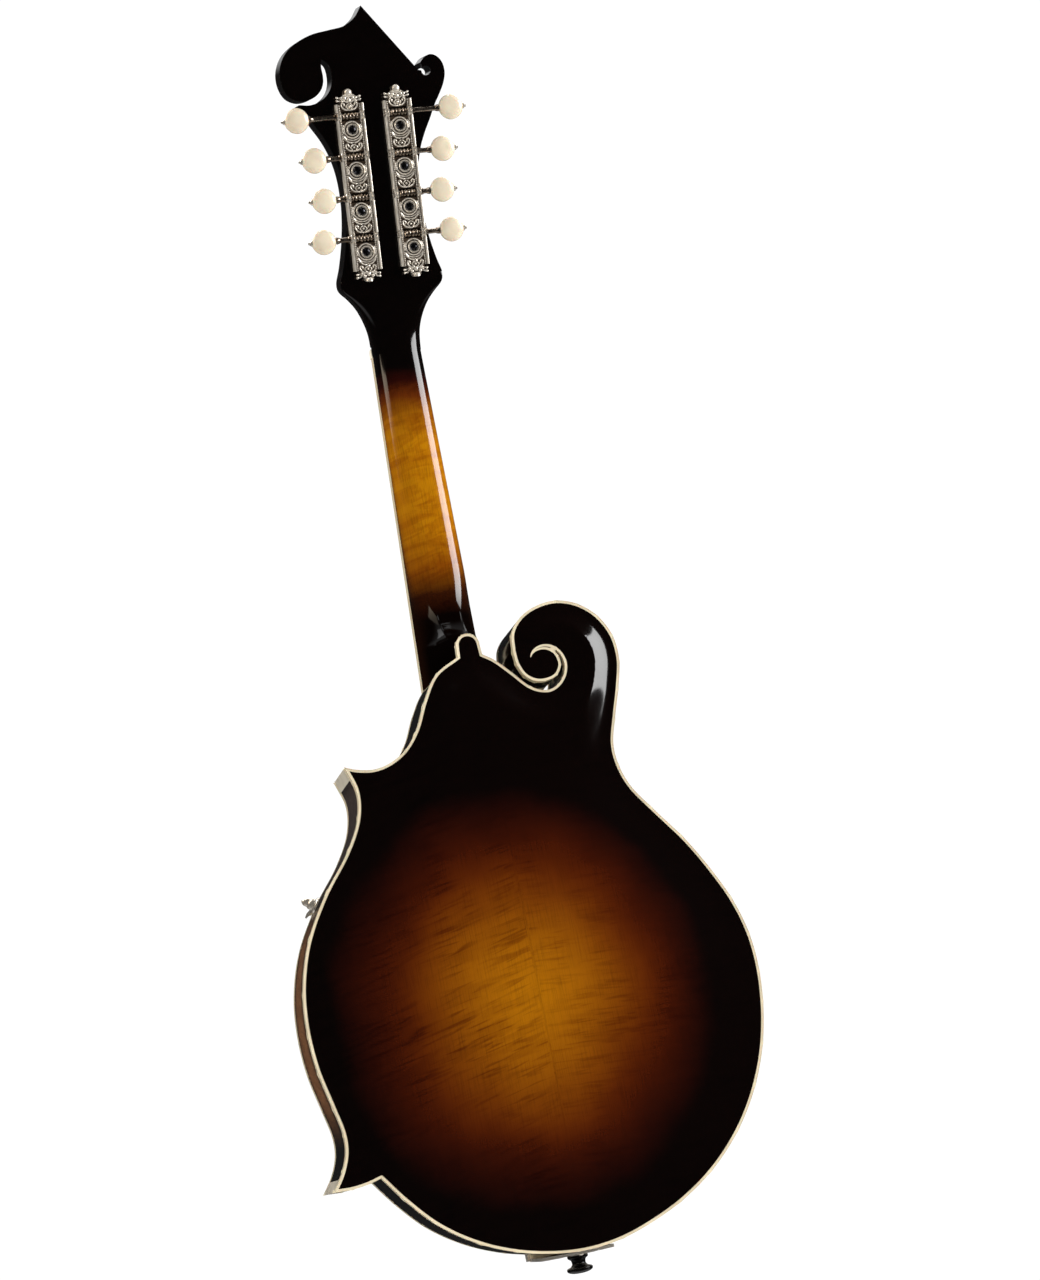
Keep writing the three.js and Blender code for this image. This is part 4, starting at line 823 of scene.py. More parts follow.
def ribs():
    bm = bmesh.new()
    outer = tidy_loop(RIB_OUTLINE, 0.05)
    inner = tidy_loop(inset(RIB_OUTLINE, 2.4), 0.05)
    slab(bm, [outer, inner], -RIM_Y, RIM_Y)
    finish_piece("ribs", bm, rib_wood, replaces=["rim"], crease=40)
    bm = bmesh.new()
    lining_in = tidy_loop(inset(RIB_OUTLINE, 5.6), 0.3)
    lining_out = tidy_loop(inset(RIB_OUTLINE, 2.3), 0.05)
    for low, high in ((-RIM_Y, -RIM_Y + 7), (RIM_Y - 7, RIM_Y)):
        slab(bm, [lining_out, lining_in], low, high)
    finish_piece("linings", bm, raw_wood)


ribs()


def clipped(polygon, tip, direction, low, high):
    """The part of a polygon whose place along a direction from the tip is between two values."""
    for sign, limit in ((1, low), (-1, -high)):
        result = []
        along = [sign * float((p - tip) @ direction) - limit for p in polygon]
        for (p, a), (q, b) in zip(zip(polygon, along), zip([*polygon[1:], polygon[0]],
                                                           [*along[1:], along[0]])):
            if a >= 0:
                result.append(p)
            if (a >= 0) != (b >= 0):
                result.append(p + (q - p) * (a / (a - b)))
        polygon = result
    return polygon


def point_cap(name, tip, direction, depth, node):
    direction = np.array(direction) / np.linalg.norm(direction)
    across = np.array([-direction[1], direction[0]])
    tip = np.array(tip, dtype=float)
    piece = clipped(clipped(list(RIB_OUTLINE), tip, direction, -2, depth), tip, across, -12, 12)
    loop = tidy_loop(np.array(piece), 0.15)
    middle = loop.mean(axis=0)
    loop = loop + (loop - middle) / np.linalg.norm(loop - middle, axis=1)[:, None] * 0.12
    bm = bmesh.new()
    slab(bm, [loop], -RIM_Y, RIM_Y)
    finish_piece(name, bm, cap_cream, replaces=[node], bevel=0.15)


point_cap("point_cap_upper", UPPER_TIP, (-0.35, -0.94), 7, "upper_point_cap")
point_cap("point_cap_lower", LOWER_TIP, (-0.93, 0.36), 6, "lower_point_cap")


def scroll_tail():
    """The two bindings of the scroll run on as a pair of thin strips that meet in a point."""
    middle = np.array(catmull([(-49.1, 337.1), (-45.8, 339.3), (-42, 340.1), (-38.4, 339.4),
                               (-35.6, 337.6), (-33.9, 334.9)], 8))
    tangent = np.gradient(middle, axis=0)
    tangent /= np.linalg.norm(tangent, axis=1)[:, None]
    normal = np.column_stack([-tangent[:, 1], tangent[:, 0]])
    t = np.linspace(0, 1, len(middle))
    half = (1.95 * (1 - t) ** 0.75 + 0.08)[:, None]
    gap = (0.34 * (1 - t / 0.72))[:, None]
    loop = tidy_loop(np.vstack([middle + normal * half, (middle - normal * half)[::-1]]), 0.1)
    split = (t > 0.12) & (t < 0.7)
    line = tidy_loop(np.vstack([(middle + normal * gap)[split],
                                (middle - normal * gap)[split][::-1]]), 0.05)
    bm = bmesh.new()
    surface = lambda x, z: outer_height(x, z, BACK_ARCH)
    slab(bm, [loop, line], lambda x, z: surface(x, z) - 1.5,
         lambda x, z: np.maximum(surface(x, z) + 0.12, EDGE_Y + 0.08))
    finish_piece("scroll_inlay", bm, cream)


scroll_tail()

for node in ("head_block", "tail_block"):
    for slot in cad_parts[node].material_slots:
        slot.material = raw_wood
for node in ("truss_rod", "truss_rod_nut"):
    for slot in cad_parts[node].material_slots:
        slot.material = steel


# ---------------------------------------------------------------- neck and headstock

HEEL_START = 132
HEEL_FACE = 178


def neck_half_width(distance):
    return NUT_HALF_WIDTH + (JOINT_HALF_WIDTH - NUT_HALF_WIDTH) * distance / NECK_LENGTH


def fret_distance(fret):
    return SCALE_LENGTH * (1 - 2 ** (-fret / 12))


def heel_depth(distance):
    return (RIM_Y - 0.1 - NUT_Y + distance * math.sin(NECK_ANGLE)) / math.cos(NECK_ANGLE)


def eased(t):
    t = min(1.0, max(0.0, t))
    return t * t * (3 - 2 * t)


BEND_REACH = 16.0


def bend_fill(distance):
    """Wood that rounds the hollow of the bend behind the nut, a given way up or down from it."""
    reach = max(0.0, BEND_REACH - abs(distance))
    return math.sin(HEAD_ANGLE - NECK_ANGLE) * reach ** 2 / (4 * BEND_REACH)


def neck_ring(distance, steps=28):
    """One section: a D on the shaft, drawn in to the width of the heel button at the heel."""
    half = neck_half_width(distance)
    front = FINGERBOARD_THICKNESS + 0.1
    shaft = 18.6 + 0.018 * distance
    t = min(1.0, max(0.0, (distance - HEEL_START) / (HEEL_FACE - HEEL_START)))
    sweep = 1 - math.sqrt(max(0.0, 1 - t ** 3.2))
    depth = shaft + (heel_depth(distance) - shaft) * sweep - front
    heelness = eased(t)
    ring = []
    for i in range(steps + 1):
        angle = math.pi * i / steps
        c, s = math.cos(angle), math.sin(angle)
        round_x = half * math.copysign(abs(c) ** 0.75, c)
        down = s ** 0.85
        taper = half + (HEEL_BUTTON_RADIUS - 0.2 - half) * down ** 1.2
        heel_x = math.copysign(min(abs(round_x) * 1.6, taper), c)
        ring.append((round_x + (heel_x - round_x) * heelness, front
                     + (depth + bend_fill(distance)) * down, -distance))
    return ring


HEAD_FLANK = [(14.4, 0), (15.2, 14), (17.6, 23), (21, 30.5), (25, 36), (29.8, 41.5), (30.4, 46),
              (27.9, 54.5), (25.2, 66), (22.9, 81), (22.2, 93), (23.2, 108), (26, 119.5),
              (29.6, 128)]


def head_outline():
    """A pointed crown, a big scroll on the treble side and a small curl with a round eye."""
    horn = (42.3, 149)
    points = catmull([*HEAD_FLANK, (35, 137), horn], 6)
    points += catmull([horn, (35.5, 148.4), (28.8, 150.6), (24.7, 154.2), (22.3, 158.8),
                       (21.7, 164.8), (22.8, 170.2), (26, 173.4)], 6)
    points += catmull([(26.6, 173.2), (27, 169), (26.6, 164.5), (26.8, 160.6), (28.4, 156.6),
                       (31.8, 153.2), (36.6, 151.2), (42, 151), (47.6, 153.9), (51, 160.4),
                       (51.3, 168.8), (47.8, 177), (41, 183), (31, 187.5), (20, 189.4), (11, 191),
                       (4.5, 195.2), (0, 201.5)], 6)
    points += [np.array((0, 201.5)), np.array((-29.4, 162.8))]
    for i in range(28):
        angle = math.radians(5 - 320 * i / 27)
        points.append(np.array((-34 + 2.7 * math.cos(angle), 162 + 2.7 * math.sin(angle))))
    points += catmull([(-31, 166.8), (-34, 169.8), (-37.6, 171), (-41.2, 169.6), (-44, 166),
                       (-45, 160.5), (-43.6, 154.5), (-40.6, 148.6), (-37, 142.6), (-33.6, 135.6),
                       (-29.6, 128)],
                       6)
    points += [p * np.array([-1, 1]) for p in catmull(HEAD_FLANK, 6)[::-1]]
    return tidy_loop(np.array(points), 0.1)


HEAD_OUTLINE = head_outline()
FLARE_TOP = 47.0


def flank_width(v):
    """Half width of the headstock at a height on its flare."""
    curve = np.array(catmull(HEAD_FLANK[:8], 12))
    return float(np.interp(v, curve[:, 1], curve[:, 0]))


def head_section(v, steps=28):
    """Sections of the flare: a D at the nut that squares up into the flat headstock."""
    square = eased((v - 12) / (FLARE_TOP - 13))
    half = flank_width(max(v, 0.0))
    front = HEAD_WOOD_FRONT + (FINGERBOARD_THICKNESS - HEAD_WOOD_FRONT) * (1 - eased(v / 6))
    back = HEAD_BACK + 0.4 * (1 - eased(v / 25))
    depth = back - front + bend_fill(v)
    side_power = 0.75 + (0.06 - 0.75) * square
    down_power = 0.85 + (0.06 - 0.85) * square
    ring = []
    for i in range(steps + 1):
        angle = math.pi * i / steps
        c, s = math.cos(angle), math.sin(angle)
        ring.append((half * math.copysign(abs(c) ** side_power, c), front + depth * s ** down_power,
                     v))
    return ring


def neck():
    bm = bmesh.new()
    bent = HEAD.inverted() @ NECK
    rings = []
    spans = [*np.arange(212, 170, -2.0), *np.arange(170, 120, -2.5), *np.arange(120, 21, -10.0),
             *np.arange(20, -0.1, -2.0)]
    for distance in spans:
        rings.append([tuple(bent @ Vector(p)) for p in neck_ring(distance)])
    for v in np.linspace(3, FLARE_TOP, 34):
        rings.append(head_section(v))
    loft(bm, rings, HEAD)
    first = int(np.argmax((HEAD_OUTLINE[:, 1] >= FLARE_TOP)))
    ordered = np.roll(HEAD_OUTLINE, -first, axis=0)
    upper = ordered[ordered[:, 1] >= FLARE_TOP]
    half = flank_width(FLARE_TOP)
    loop = np.array([(-half, FLARE_TOP), (half, FLARE_TOP), *upper])
    slab(bm, [tidy_loop(loop, 0.1)], HEAD_WOOD_FRONT, HEAD_BACK, place=HEAD)
    finish_piece("neck_and_headstock", bm, neck_wood, replaces=["neck"],
                 bevel=0.55,
                 bevel_angle=60, crease=35, segments=3)
    bm = bmesh.new()
    under = FINGERBOARD_THICKNESS + 0.1
    start, end = NECK @ Vector((0, under, -200)), NECK @ Vector((0, under, -280))
    profile = [(start.z, start.y), (end.z, end.y)]
    for z in np.arange(end.z, start.z - 6, 6):
        profile.append((z, -float(outer_height(np.array([0.0]), np.array([z]), TOP_ARCH)[0]) - 0.6))
    profile.append((start.z, -EDGE_Y - 1.4))
    loft(bm, [[(x, y, z) for z, y in profile] for x in (-16.5, 16.5)])
    finish_piece("fingerboard_support", bm, black_gloss, bevel=0.4)


neck()


def overlay():
    bm = bmesh.new()
    start = int(np.argmax(HEAD_OUTLINE[:, 1] >= 7.0))
    ordered = np.roll(HEAD_OUTLINE, -start, axis=0)
    above = ordered[ordered[:, 1] >= 7.0]
    slab(bm, [tidy_loop(above, 0.1)], OVERLAY_FRONT, HEAD_WOOD_FRONT - 0.02, place=HEAD)
    finish_piece("head_overlay", bm, black_gloss,
                 replaces=["headstock_overlay"], bevel=0.35,
                 bevel_angle=60)


overlay()


def fingerboard():
    end = fret_distance(FRET_COUNT) + 2
    half = neck_half_width(end)
    strip = 1.3
    scoop = [(half * 0.35 * math.cos(a), -end + 3.5 * math.sin(a))
             for a in np.linspace(math.pi, 0, 13)]
    outer = [(-NUT_HALF_WIDTH, 0), (-half, -end), (-half * 0.35, -end), *scoop[1:-1],
             (half * 0.35, -end), (half, -end), (NUT_HALF_WIDTH, 0)]
    inner = [(x - math.copysign(strip, x) if abs(x) > half * 0.6 else x, z) for x, z in outer]
    bm = bmesh.new()
    slab(bm, [np.array(inner)[::-1]], 0.0, FINGERBOARD_THICKNESS, place=NECK)
    finish_piece("ebony_board", bm, ebony, replaces=["fingerboard"], bevel=0.25)
    bm = bmesh.new()
    for side in (-1, 1):
        strip_loop = [(side * NUT_HALF_WIDTH, 0), (side * half, -end),
                      (side * (half - strip + 0.02), -end),
                      (side * (NUT_HALF_WIDTH - strip + 0.02), 0)]
        slab(bm, [np.array(strip_loop)], 0.02, FINGERBOARD_THICKNESS + 0.02, place=NECK)
    finish_piece("fingerboard_binding", bm, cream, bevel=0.2)
    bm = bmesh.new()
    for fret in range(1, FRET_COUNT + 1):
        at = fret_distance(fret)
        width = neck_half_width(at) - 0.9
        section = [(0.62 * math.cos(a), -1.0 * math.sin(a)) for a in np.linspace(0, math.pi, 9)]
        section += [(-0.62, 0.1), (0.62, 0.1)]
        rings = []
        for x, scale in ((-width, 0.35), (-width + 0.7, 1), (width - 0.7, 1), (width, 0.35)):
            rings.append([(x, y * scale, -at + z) for z, y in section])
        loft(bm, rings, NECK)
    finish_piece("frets", bm, nickel)
    bm = bmesh.new()
    for fret in (5, 7, 10, 12, 15):
        middle = -(fret_distance(fret) + fret_distance(fret - 1)) / 2
        for x in ((-5, 5) if fret == 12 else (0,)):
            turned(bm, [(0, 0.5), (2.6, 0.5), (2.6, -0.03), (0, -0.03)], "y", (x, 0, middle), 28,
                   NECK)
    finish_piece("position_dots", bm, pearl)
    bm = bmesh.new()
    for fret in (5, 7, 10, 12, 15):
        middle = -(fret_distance(fret) + fret_distance(fret - 1)) / 2
        width = neck_half_width(-middle)
        for shift in ((-1.8, 1.8) if fret == 12 else (0,)):
            turned(bm, [(0, -width - 0.05), (0.8, -width - 0.05), (0.8, -width + 0.8),
                        (0, -width + 0.8)], "x",
                   (0, 3, middle + shift), 16, NECK)
    finish_piece("side_dots", bm, black_gloss)


fingerboard()


def nut():
    half = NUT_HALF_WIDTH + 0.3
    bm = bmesh.new()
    places = sorted({-half, half, *[x + d for x, r in zip(NUT_STRINGS, STRING_RADII)
                                    for d in (-r - 0.35, -r * 0.6, r * 0.6, r + 0.35)]})
    rings = []
    for x in places:
        deep = any(abs(x - s) < r * 0.8 for s, r in zip(NUT_STRINGS, STRING_RADII))
        top = -1.0 if deep else -1.45
        rings.append([(x, y, z) for z, y in ((0.1, 5), (0.1, top + 0.3), (0.8, top),
                                             (2.6, top + 0.1), (4.2, -0.2), (5, 0.8), (5, 5))])
    loft(bm, rings, NECK)
    finish_piece("string_nut", bm, bone, replaces=["nut"], crease=50)


nut()


def rod_cover():
    half = [(10.5, 7.6), (10.5, 11), (7.5, 15), (5.6, 21), (5.4, 29), (3, 33.5), (0, 35.5)]
    right = catmull(half, 5)
    loop = np.array([*right, (0, 35.5), *[p * np.array([-1, 1]) for p in right[::-1]]])
    bm = bmesh.new()
    slab(bm, [tidy_loop(loop)], OVERLAY_FRONT - 2.0, OVERLAY_FRONT, place=HEAD)
    finish_piece("bell_cover", bm, black_gloss, replaces=["truss_rod_cover"],
                 bevel=0.4)
    bm = bmesh.new()
    for x, v in ((-7.2, 10), (7.2, 10), (0, 31)):
        screw(bm, (x, OVERLAY_FRONT - 2.0, v), 1.6, HEAD)
    finish_piece("bell_cover_screws", bm, nickel)


def screw(bm, at, radius, place, axis="y", outward=-1, slot_turn=0.5):
    """A domed slotted screw head that stands on a face."""
    height = radius * 0.45
    profile = [(radius, 0.0), (radius, -0.1), (radius * 0.98, height * 0.3),
               (radius * 0.75, height * 0.8), (radius * 0.3, height)]
    rings = []
    count = 24
    for r, up in profile:
        ring = []
        for k in range(count):
            angle = 2 * math.pi * k / count
            a, b = r * math.cos(angle), r * math.sin(angle)
            across = a * math.sin(slot_turn) + b * math.cos(slot_turn)
            dip = 0.55 * radius * 0.45 if abs(across) < 0.16 * radius and up > 0.3 * height else 0
            level = outward * (up - dip)
            local = {"y": (a, level, b), "x": (level, a, b), "z": (a, b, level)}[axis]
            ring.append([local[i] + at[i] for i in range(3)])
        rings.append(ring)
    loft(bm, rings, place)


rod_cover()

# ---------------------------------------------------------------- tuning machines

PLATE_SEAT = HEAD_BACK + 0.3
PLATE_LOW, PLATE_HIGH = 45.4, 155.5
STRAIGHT_LOW, STRAIGHT_HIGH = 52, 147     # the finials lie beyond these
WAIST_RADIUS = 2.42                       # of a string post, where its string winds
RAIL_HALF = 8.2


FINIAL_OUT = [0, 0.07, 0.14, 0.24, 0.36, 0.48, 0.58, 0.68, 0.8, 0.9, 0.97, 1]
FINIAL_HALF = [6.8, 5.6, 5.1, 5.0, 5.2, 4.2, 2.9, 2.5, 2.6, 2.2, 1.3, 0.5]


def plate_half_width(v):
    """Half width of a tuner plate at a height, with a rounded finial at each end."""
    if STRAIGHT_LOW <= v <= STRAIGHT_HIGH:
        return RAIL_HALF
    end, inner = (PLATE_LOW, STRAIGHT_LOW) if v < STRAIGHT_LOW else (PLATE_HIGH, STRAIGHT_HIGH)
    out = abs(v - inner) / abs(end - inner)
    return float(np.interp(out, FINIAL_OUT, FINIAL_HALF))


def ridge(height, distance, width, rise):
    """Raises a field to a rounded ridge of a given half width where it is lower."""
    lift = rise * np.sqrt(np.clip(1 - (distance / width) ** 2, 0, 1))
    return np.maximum(height, lift)


def strokes(side):
    """Ornament of one tuner's length of plate, as curves round its ring: leaves and scrolls."""
    leaf = []
    for s in (-1, 1):
        leaf.append(([(s * 5.1, -1.5), (s * 5.4, 0.6), (s * 4.9, 2.6)], 0.5))
        leaf.append(([(s * 5.2, -3.6), (s * 4.2, -5.2), (s * 3.0, -6.6), (s * 1.0, -7.4)], 0.45))
        leaf.append(([(s * 0.4, -12.0), (s * 2.6, -11.6), (s * 4.3, -10.2), (s * 4.6, -8.4),
                      (s * 3.5, -7.9), (s * 3.0, -9.2)], 0.5))
        leaf.append(([(s * 0.4, -8.4), (s * 1.6, -9.2), (s * 2.0, -10.2), (s * 1.2, -11.0)], 0.4))
    if side > 0:
        leaf.append(([(-5.6, -2.4), (-4.5, -4.2)], 0.4))
    return leaf


def plate_height(side, dx, v):
    """Height of a tuner plate's face above its seat, and how polished it is."""
    floor, rail = 3.1, 4.75
    relief = np.zeros_like(dx)
    for post in [*POSTS, POSTS[-1] + POST_PITCH]:
        rise = v - post
        away = np.hypot(dx, rise)
        for radius, width, top in ((4.6, 0.5, 1.35), (5.9, 0.42, 0.9), (7.1, 0.38, 0.8)):
            reach = (rise < -1.5) | (radius < 5)
            relief = np.where(reach & (np.abs(dx) < 5.2) & (rise > -7.6),
                              ridge(relief, np.abs(away - radius), width, top), relief)
        for route, width in strokes(side):
            curve = np.array(catmull(route, 5) + [np.array(route[-1], dtype=float)])
            near = (rise > -14.5) & (rise < 4)
            d = np.full(dx.shape, 99.0)
            d[near] = distance_to(curve, np.column_stack([dx[near], rise[near]]), closed=False)
            relief = ridge(relief, d, width, 1.15)
        relief = ridge(relief, np.hypot(dx, rise + 9.9), 0.75, 1.2)
    beads = np.hypot(np.abs(dx) - 6.05, (v / 1.25 - np.round(v / 1.25)) * 1.25)
    straight = (v > STRAIGHT_LOW) & (v < STRAIGHT_HIGH)
    relief = np.where(straight, ridge(relief, beads, 0.56, 1.0), relief)
    relief = np.where((np.abs(dx) > 5.6) & (np.abs(dx) < 6.6) & straight,
                      np.maximum(relief, 0.25), relief)
    for end, sign in ((STRAIGHT_LOW, -1), (STRAIGHT_HIGH, 1)):
        out = (v - end) * sign
        for at_x, at_out, radius, top in ((0, 6.3, 2.2, 2.1), (0, 2.0, 1.4, 1.5),
                                          (-2.4, 3.2, 1.1, 1.3), (2.4, 3.2, 1.1, 1.3),
                                          (-3.9, 1.5, 0.8, 1.1), (3.9, 1.5, 0.8, 1.1)):
            relief = ridge(relief, np.hypot(dx - at_x, out - at_out), radius, top)
        near = out > -1
        for s in (-1, 1):
            for route in ([(s * 0.6, 4.4), (s * 2.4, 4.9), (s * 4.4, 4.2)],
                          [(s * 1.0, 0.7), (s * 2.6, 1.6), (s * 4.7, 2.9)]):
                curve = np.array(catmull(route, 5) + [np.array(route[-1], dtype=float)])
                d = np.full(dx.shape, 99.0)
                d[near] = distance_to(curve, np.column_stack([dx[near], out[near]]), closed=False)
                relief = ridge(relief, d, 0.45, 1.0)
    polish = np.clip(relief, 0, 1)
    height = floor + relief
    rails = np.clip((np.abs(dx) - 6.75) / 0.25, 0, 1) * ((v > 51.5) & (v < 147.5))
    height = np.where(rails > 0, np.maximum(height, floor + (rail - floor) * rails), height)
    polish = np.maximum(polish, rails)
    for post in POSTS:
        away = np.hypot(dx, v - post)
        hole = np.clip((3.95 - away) / 0.2, 0, 1)
        height = height * (1 - hole) + 0.4 * hole
        polish = polish * (1 - hole)
        worm = np.clip((5.45 - np.abs(dx)) / 0.2, 0, 1)
        worm = worm * np.clip((2.65 - np.abs(v - post - WORM_RISE)) / 0.2, 0, 1)
        height = height * (1 - worm) + 0.15 * worm
        polish = polish * (1 - worm)
        under = np.clip((2.3 - np.abs(v - post - WORM_RISE)) / 0.2, 0, 1) * (np.abs(dx) > 5.4)
        height = height * (1 - under) + np.minimum(height, 1.0) * under
    return height, polish


def tuner_plate(side, side_name):
    x0 = side * POST_ROW_X
    columns = 61
    rows = np.unique(np.round(np.concatenate([
        np.arange(PLATE_LOW, 52.2, 0.2), np.arange(52.2, 147, 0.29),
        np.arange(147, PLATE_HIGH, 0.2),
        [PLATE_HIGH]]), 3))
    u = np.linspace(-1, 1, columns)
    half = np.array([plate_half_width(v) for v in rows])
    dx = half[:, None] * u[None, :]
    v = np.repeat(rows[:, None], columns, axis=1)
    height, polish = plate_height(side, dx.ravel(), v.ravel())
    height, polish = height.reshape(dx.shape), polish.reshape(dx.shape)
    height[:, 0] = height[:, -1] = np.minimum(height[:, 0], 4.4)
    height[0, :] = np.minimum(height[0, :], 2.4)
    height[-1, :] = np.minimum(height[-1, :], 2.4)
    top = np.stack([dx + x0, PLATE_SEAT + height, v], axis=-1).reshape(-1, 3)
    border = [(0, j) for j in range(columns)] + [(i, columns - 1) for i in range(1, len(rows))] \
        + [(len(rows) - 1, j) for j in range(columns - 2, -1, -1)] + [(i, 0)
                                                                      for i in range(len(rows) - 2,
                                                                                     0, -1)]
    rim_low = [(dx[i, j] + x0, PLATE_SEAT, rows[i]) for i, j in border]
    points = [tuple(p) for p in top] + rim_low
    faces = []
    for i in range(len(rows) - 1):
        for j in range(columns - 1):
            k = i * columns + j
            faces.append((k, k + 1, k + columns + 1, k + columns))
    base = len(top)
    for k, (i, j) in enumerate(border):
        m = (k + 1) % len(border)
        a, b = i * columns + j, border[m][0] * columns + border[m][1]
        faces.append((a, base + k, base + m, b))
    faces.append(tuple(range(base, len(points))))
    bm = bmesh.new()
    add_faces(bm, points, faces)
    values = np.concatenate([polish.ravel(), np.full(len(rim_low), 0.6)])
    bm.verts.ensure_lookup_table()
    layer = bm.verts.layers.float.new("polish")
    for vert, value in zip(bm.verts, values):
        vert[layer] = value
    for end, sign in ((STRAIGHT_LOW, -1), (STRAIGHT_HIGH, 1)):
        for s in (-1, 1):
            for out in (1.6, 3.4):
                prong(bm, (x0 + s * 4.4, PLATE_SEAT + 2.7, end + sign * out), s, sign, layer)
    finish_piece(f"tuner_plate_{side_name}", bm, engraved_nickel,
                 replaces=[f"tuner_plate_{side_name}"], place=HEAD, crease=60)
    bm = bmesh.new()
    for post in POSTS:
        for s in (-1, 1):
            r = 3.1
            profile = [(1.75, -1.35), (r * 0.86, -1.35), (r, -1.05), (r, -0.45), (r * 0.84, -0.2),
                       (r * 0.84, 0.2), (r, 0.45), (r, 1.05), (r * 0.86, 1.35), (1.75, 1.35),
                       (1.75, -1.35)]
            turned(bm, profile, "x", (x0 + s * 6.75, WORM_Y, post + WORM_RISE), 32)
    finish_piece(f"worm_collars_{side_name}", bm, nickel, place=HEAD)
    bm = bmesh.new()
    for v0 in (54.6, 145.6):
        screw(bm, (x0, PLATE_SEAT + 3.3, v0), 1.5, UPRIGHT, outward=1, slot_turn=0.9)
    finish_piece(f"plate_screws_{side_name}", bm, nickel, place=HEAD)


def prong(bm, root, s, sign, layer):
    """A small pin with a ball end that points out sideways from a finial."""
    before = len(bm.verts)
    rings = []
    for along, radius in ((0, 0.5), (1.4, 0.4), (1.7, 0.5), (1.9, 0.66), (2.3, 0.74), (2.7, 0.62),
                          (2.95, 0.3)):
        ring = []
        for k in range(12):
            angle = 2 * math.pi * k / 12
            ring.append((root[0] + s * along, root[1] + radius * math.sin(angle),
                         root[2] + sign * along * 0.2 + radius * math.cos(angle)))
        rings.append(ring)
    loft(bm, rings)
    bm.verts.ensure_lookup_table()
    for vert in bm.verts[before:]:
        vert[layer] = 1.0


def worm_shaft(side, side_name, i):
    """Worm with a helical thread, its shaft, and the small tapered tip past the button."""
    x, out = POST_ROW_X, BUTTON_X[i] - POST_ROW_X
    segments = 24
    rings = []
    profile = [(-7.6, 1.2), (-7.5, 1.5), (-5.3, 1.5)]
    profile += [(a, None) for a in np.arange(-4.9, 4.95, 0.14)]
    profile += [(5.2, 1.5), (8.4, 1.5), (8.6, 1.9), (9.4, 1.9), (9.6, 1.45), (out - 9.4, 1.45),
                (out - 9.1, 1.75), (out - 7.4, 2.1), (out - 7.0, 1.1), (out + 7.0, 1.1)]
    pitch = 2.05
    for along, radius in profile:
        ring = []
        for k in range(segments):
            angle = 2 * math.pi * k / segments
            r = radius
            if r is None:
                phase = (along / pitch + k / segments) % 1
                ends = min(1, (4.95 - abs(along)) / 0.5)
                r = 1.35 + 0.85 * max(0.0, math.sin(math.pi * phase)) ** 0.8 * max(0.0, ends)
            ring.append((side * (x + along), WORM_Y + r * math.sin(angle), POSTS[i] + WORM_RISE
                         + r * math.cos(angle)))
        rings.append(ring)
    bm = bmesh.new()
    loft(bm, rings)
    label = f"{side_name}_{i + 1}"
    finish_piece(f"worm_shaft_{label}", bm, shaft_steel, body=f"knob_{label}",
                 replaces=[f"worm_shaft_{label}"], place=HEAD)
    tip = [(0.01, 6.9), (1.1, 6.9), (1.7, 7.1), (1.6, 7.8), (0.85, 8.25), (0.95, 8.55), (0.8, 9.0),
           (0.3, 9.2), (0.01, 9.2)]
    bm = bmesh.new()
    turned(bm, tip, "x", (side * BUTTON_X[i], WORM_Y, POSTS[i] + WORM_RISE), 24, flip=side < 0)
    finish_piece(f"shaft_tip_{label}", bm, nickel, body=f"knob_{label}", place=HEAD)


def button(side, side_name, i):
    """Flattened round button with full edges."""
    count, rows = 56, 20
    rings = []
    for row in range(rows + 1):
        angle = -math.pi / 2 + math.pi * row / rows
        r = max(0.05, 7.2 * math.cos(angle) ** 0.62)
        y = 3.8 * math.copysign(abs(math.sin(angle)) ** 0.9, angle)
        ring = []
        for k in range(count):
            turn = 2 * math.pi * k / count
            squash = 1 - 0.03 * math.cos(2 * turn)
            ring.append((side * BUTTON_X[i] + r * math.cos(turn), WORM_Y + y,
                         POSTS[i] + WORM_RISE + r * squash * 0.985 * math.sin(turn)))
        rings.append(ring)
    bm = bmesh.new()
    loft(bm, rings)
    label = f"{side_name}_{i + 1}"
    finish_piece(f"button_{label}", bm, button_cream, body=f"knob_{label}",
                 replaces=[f"button_{label}"], place=HEAD)


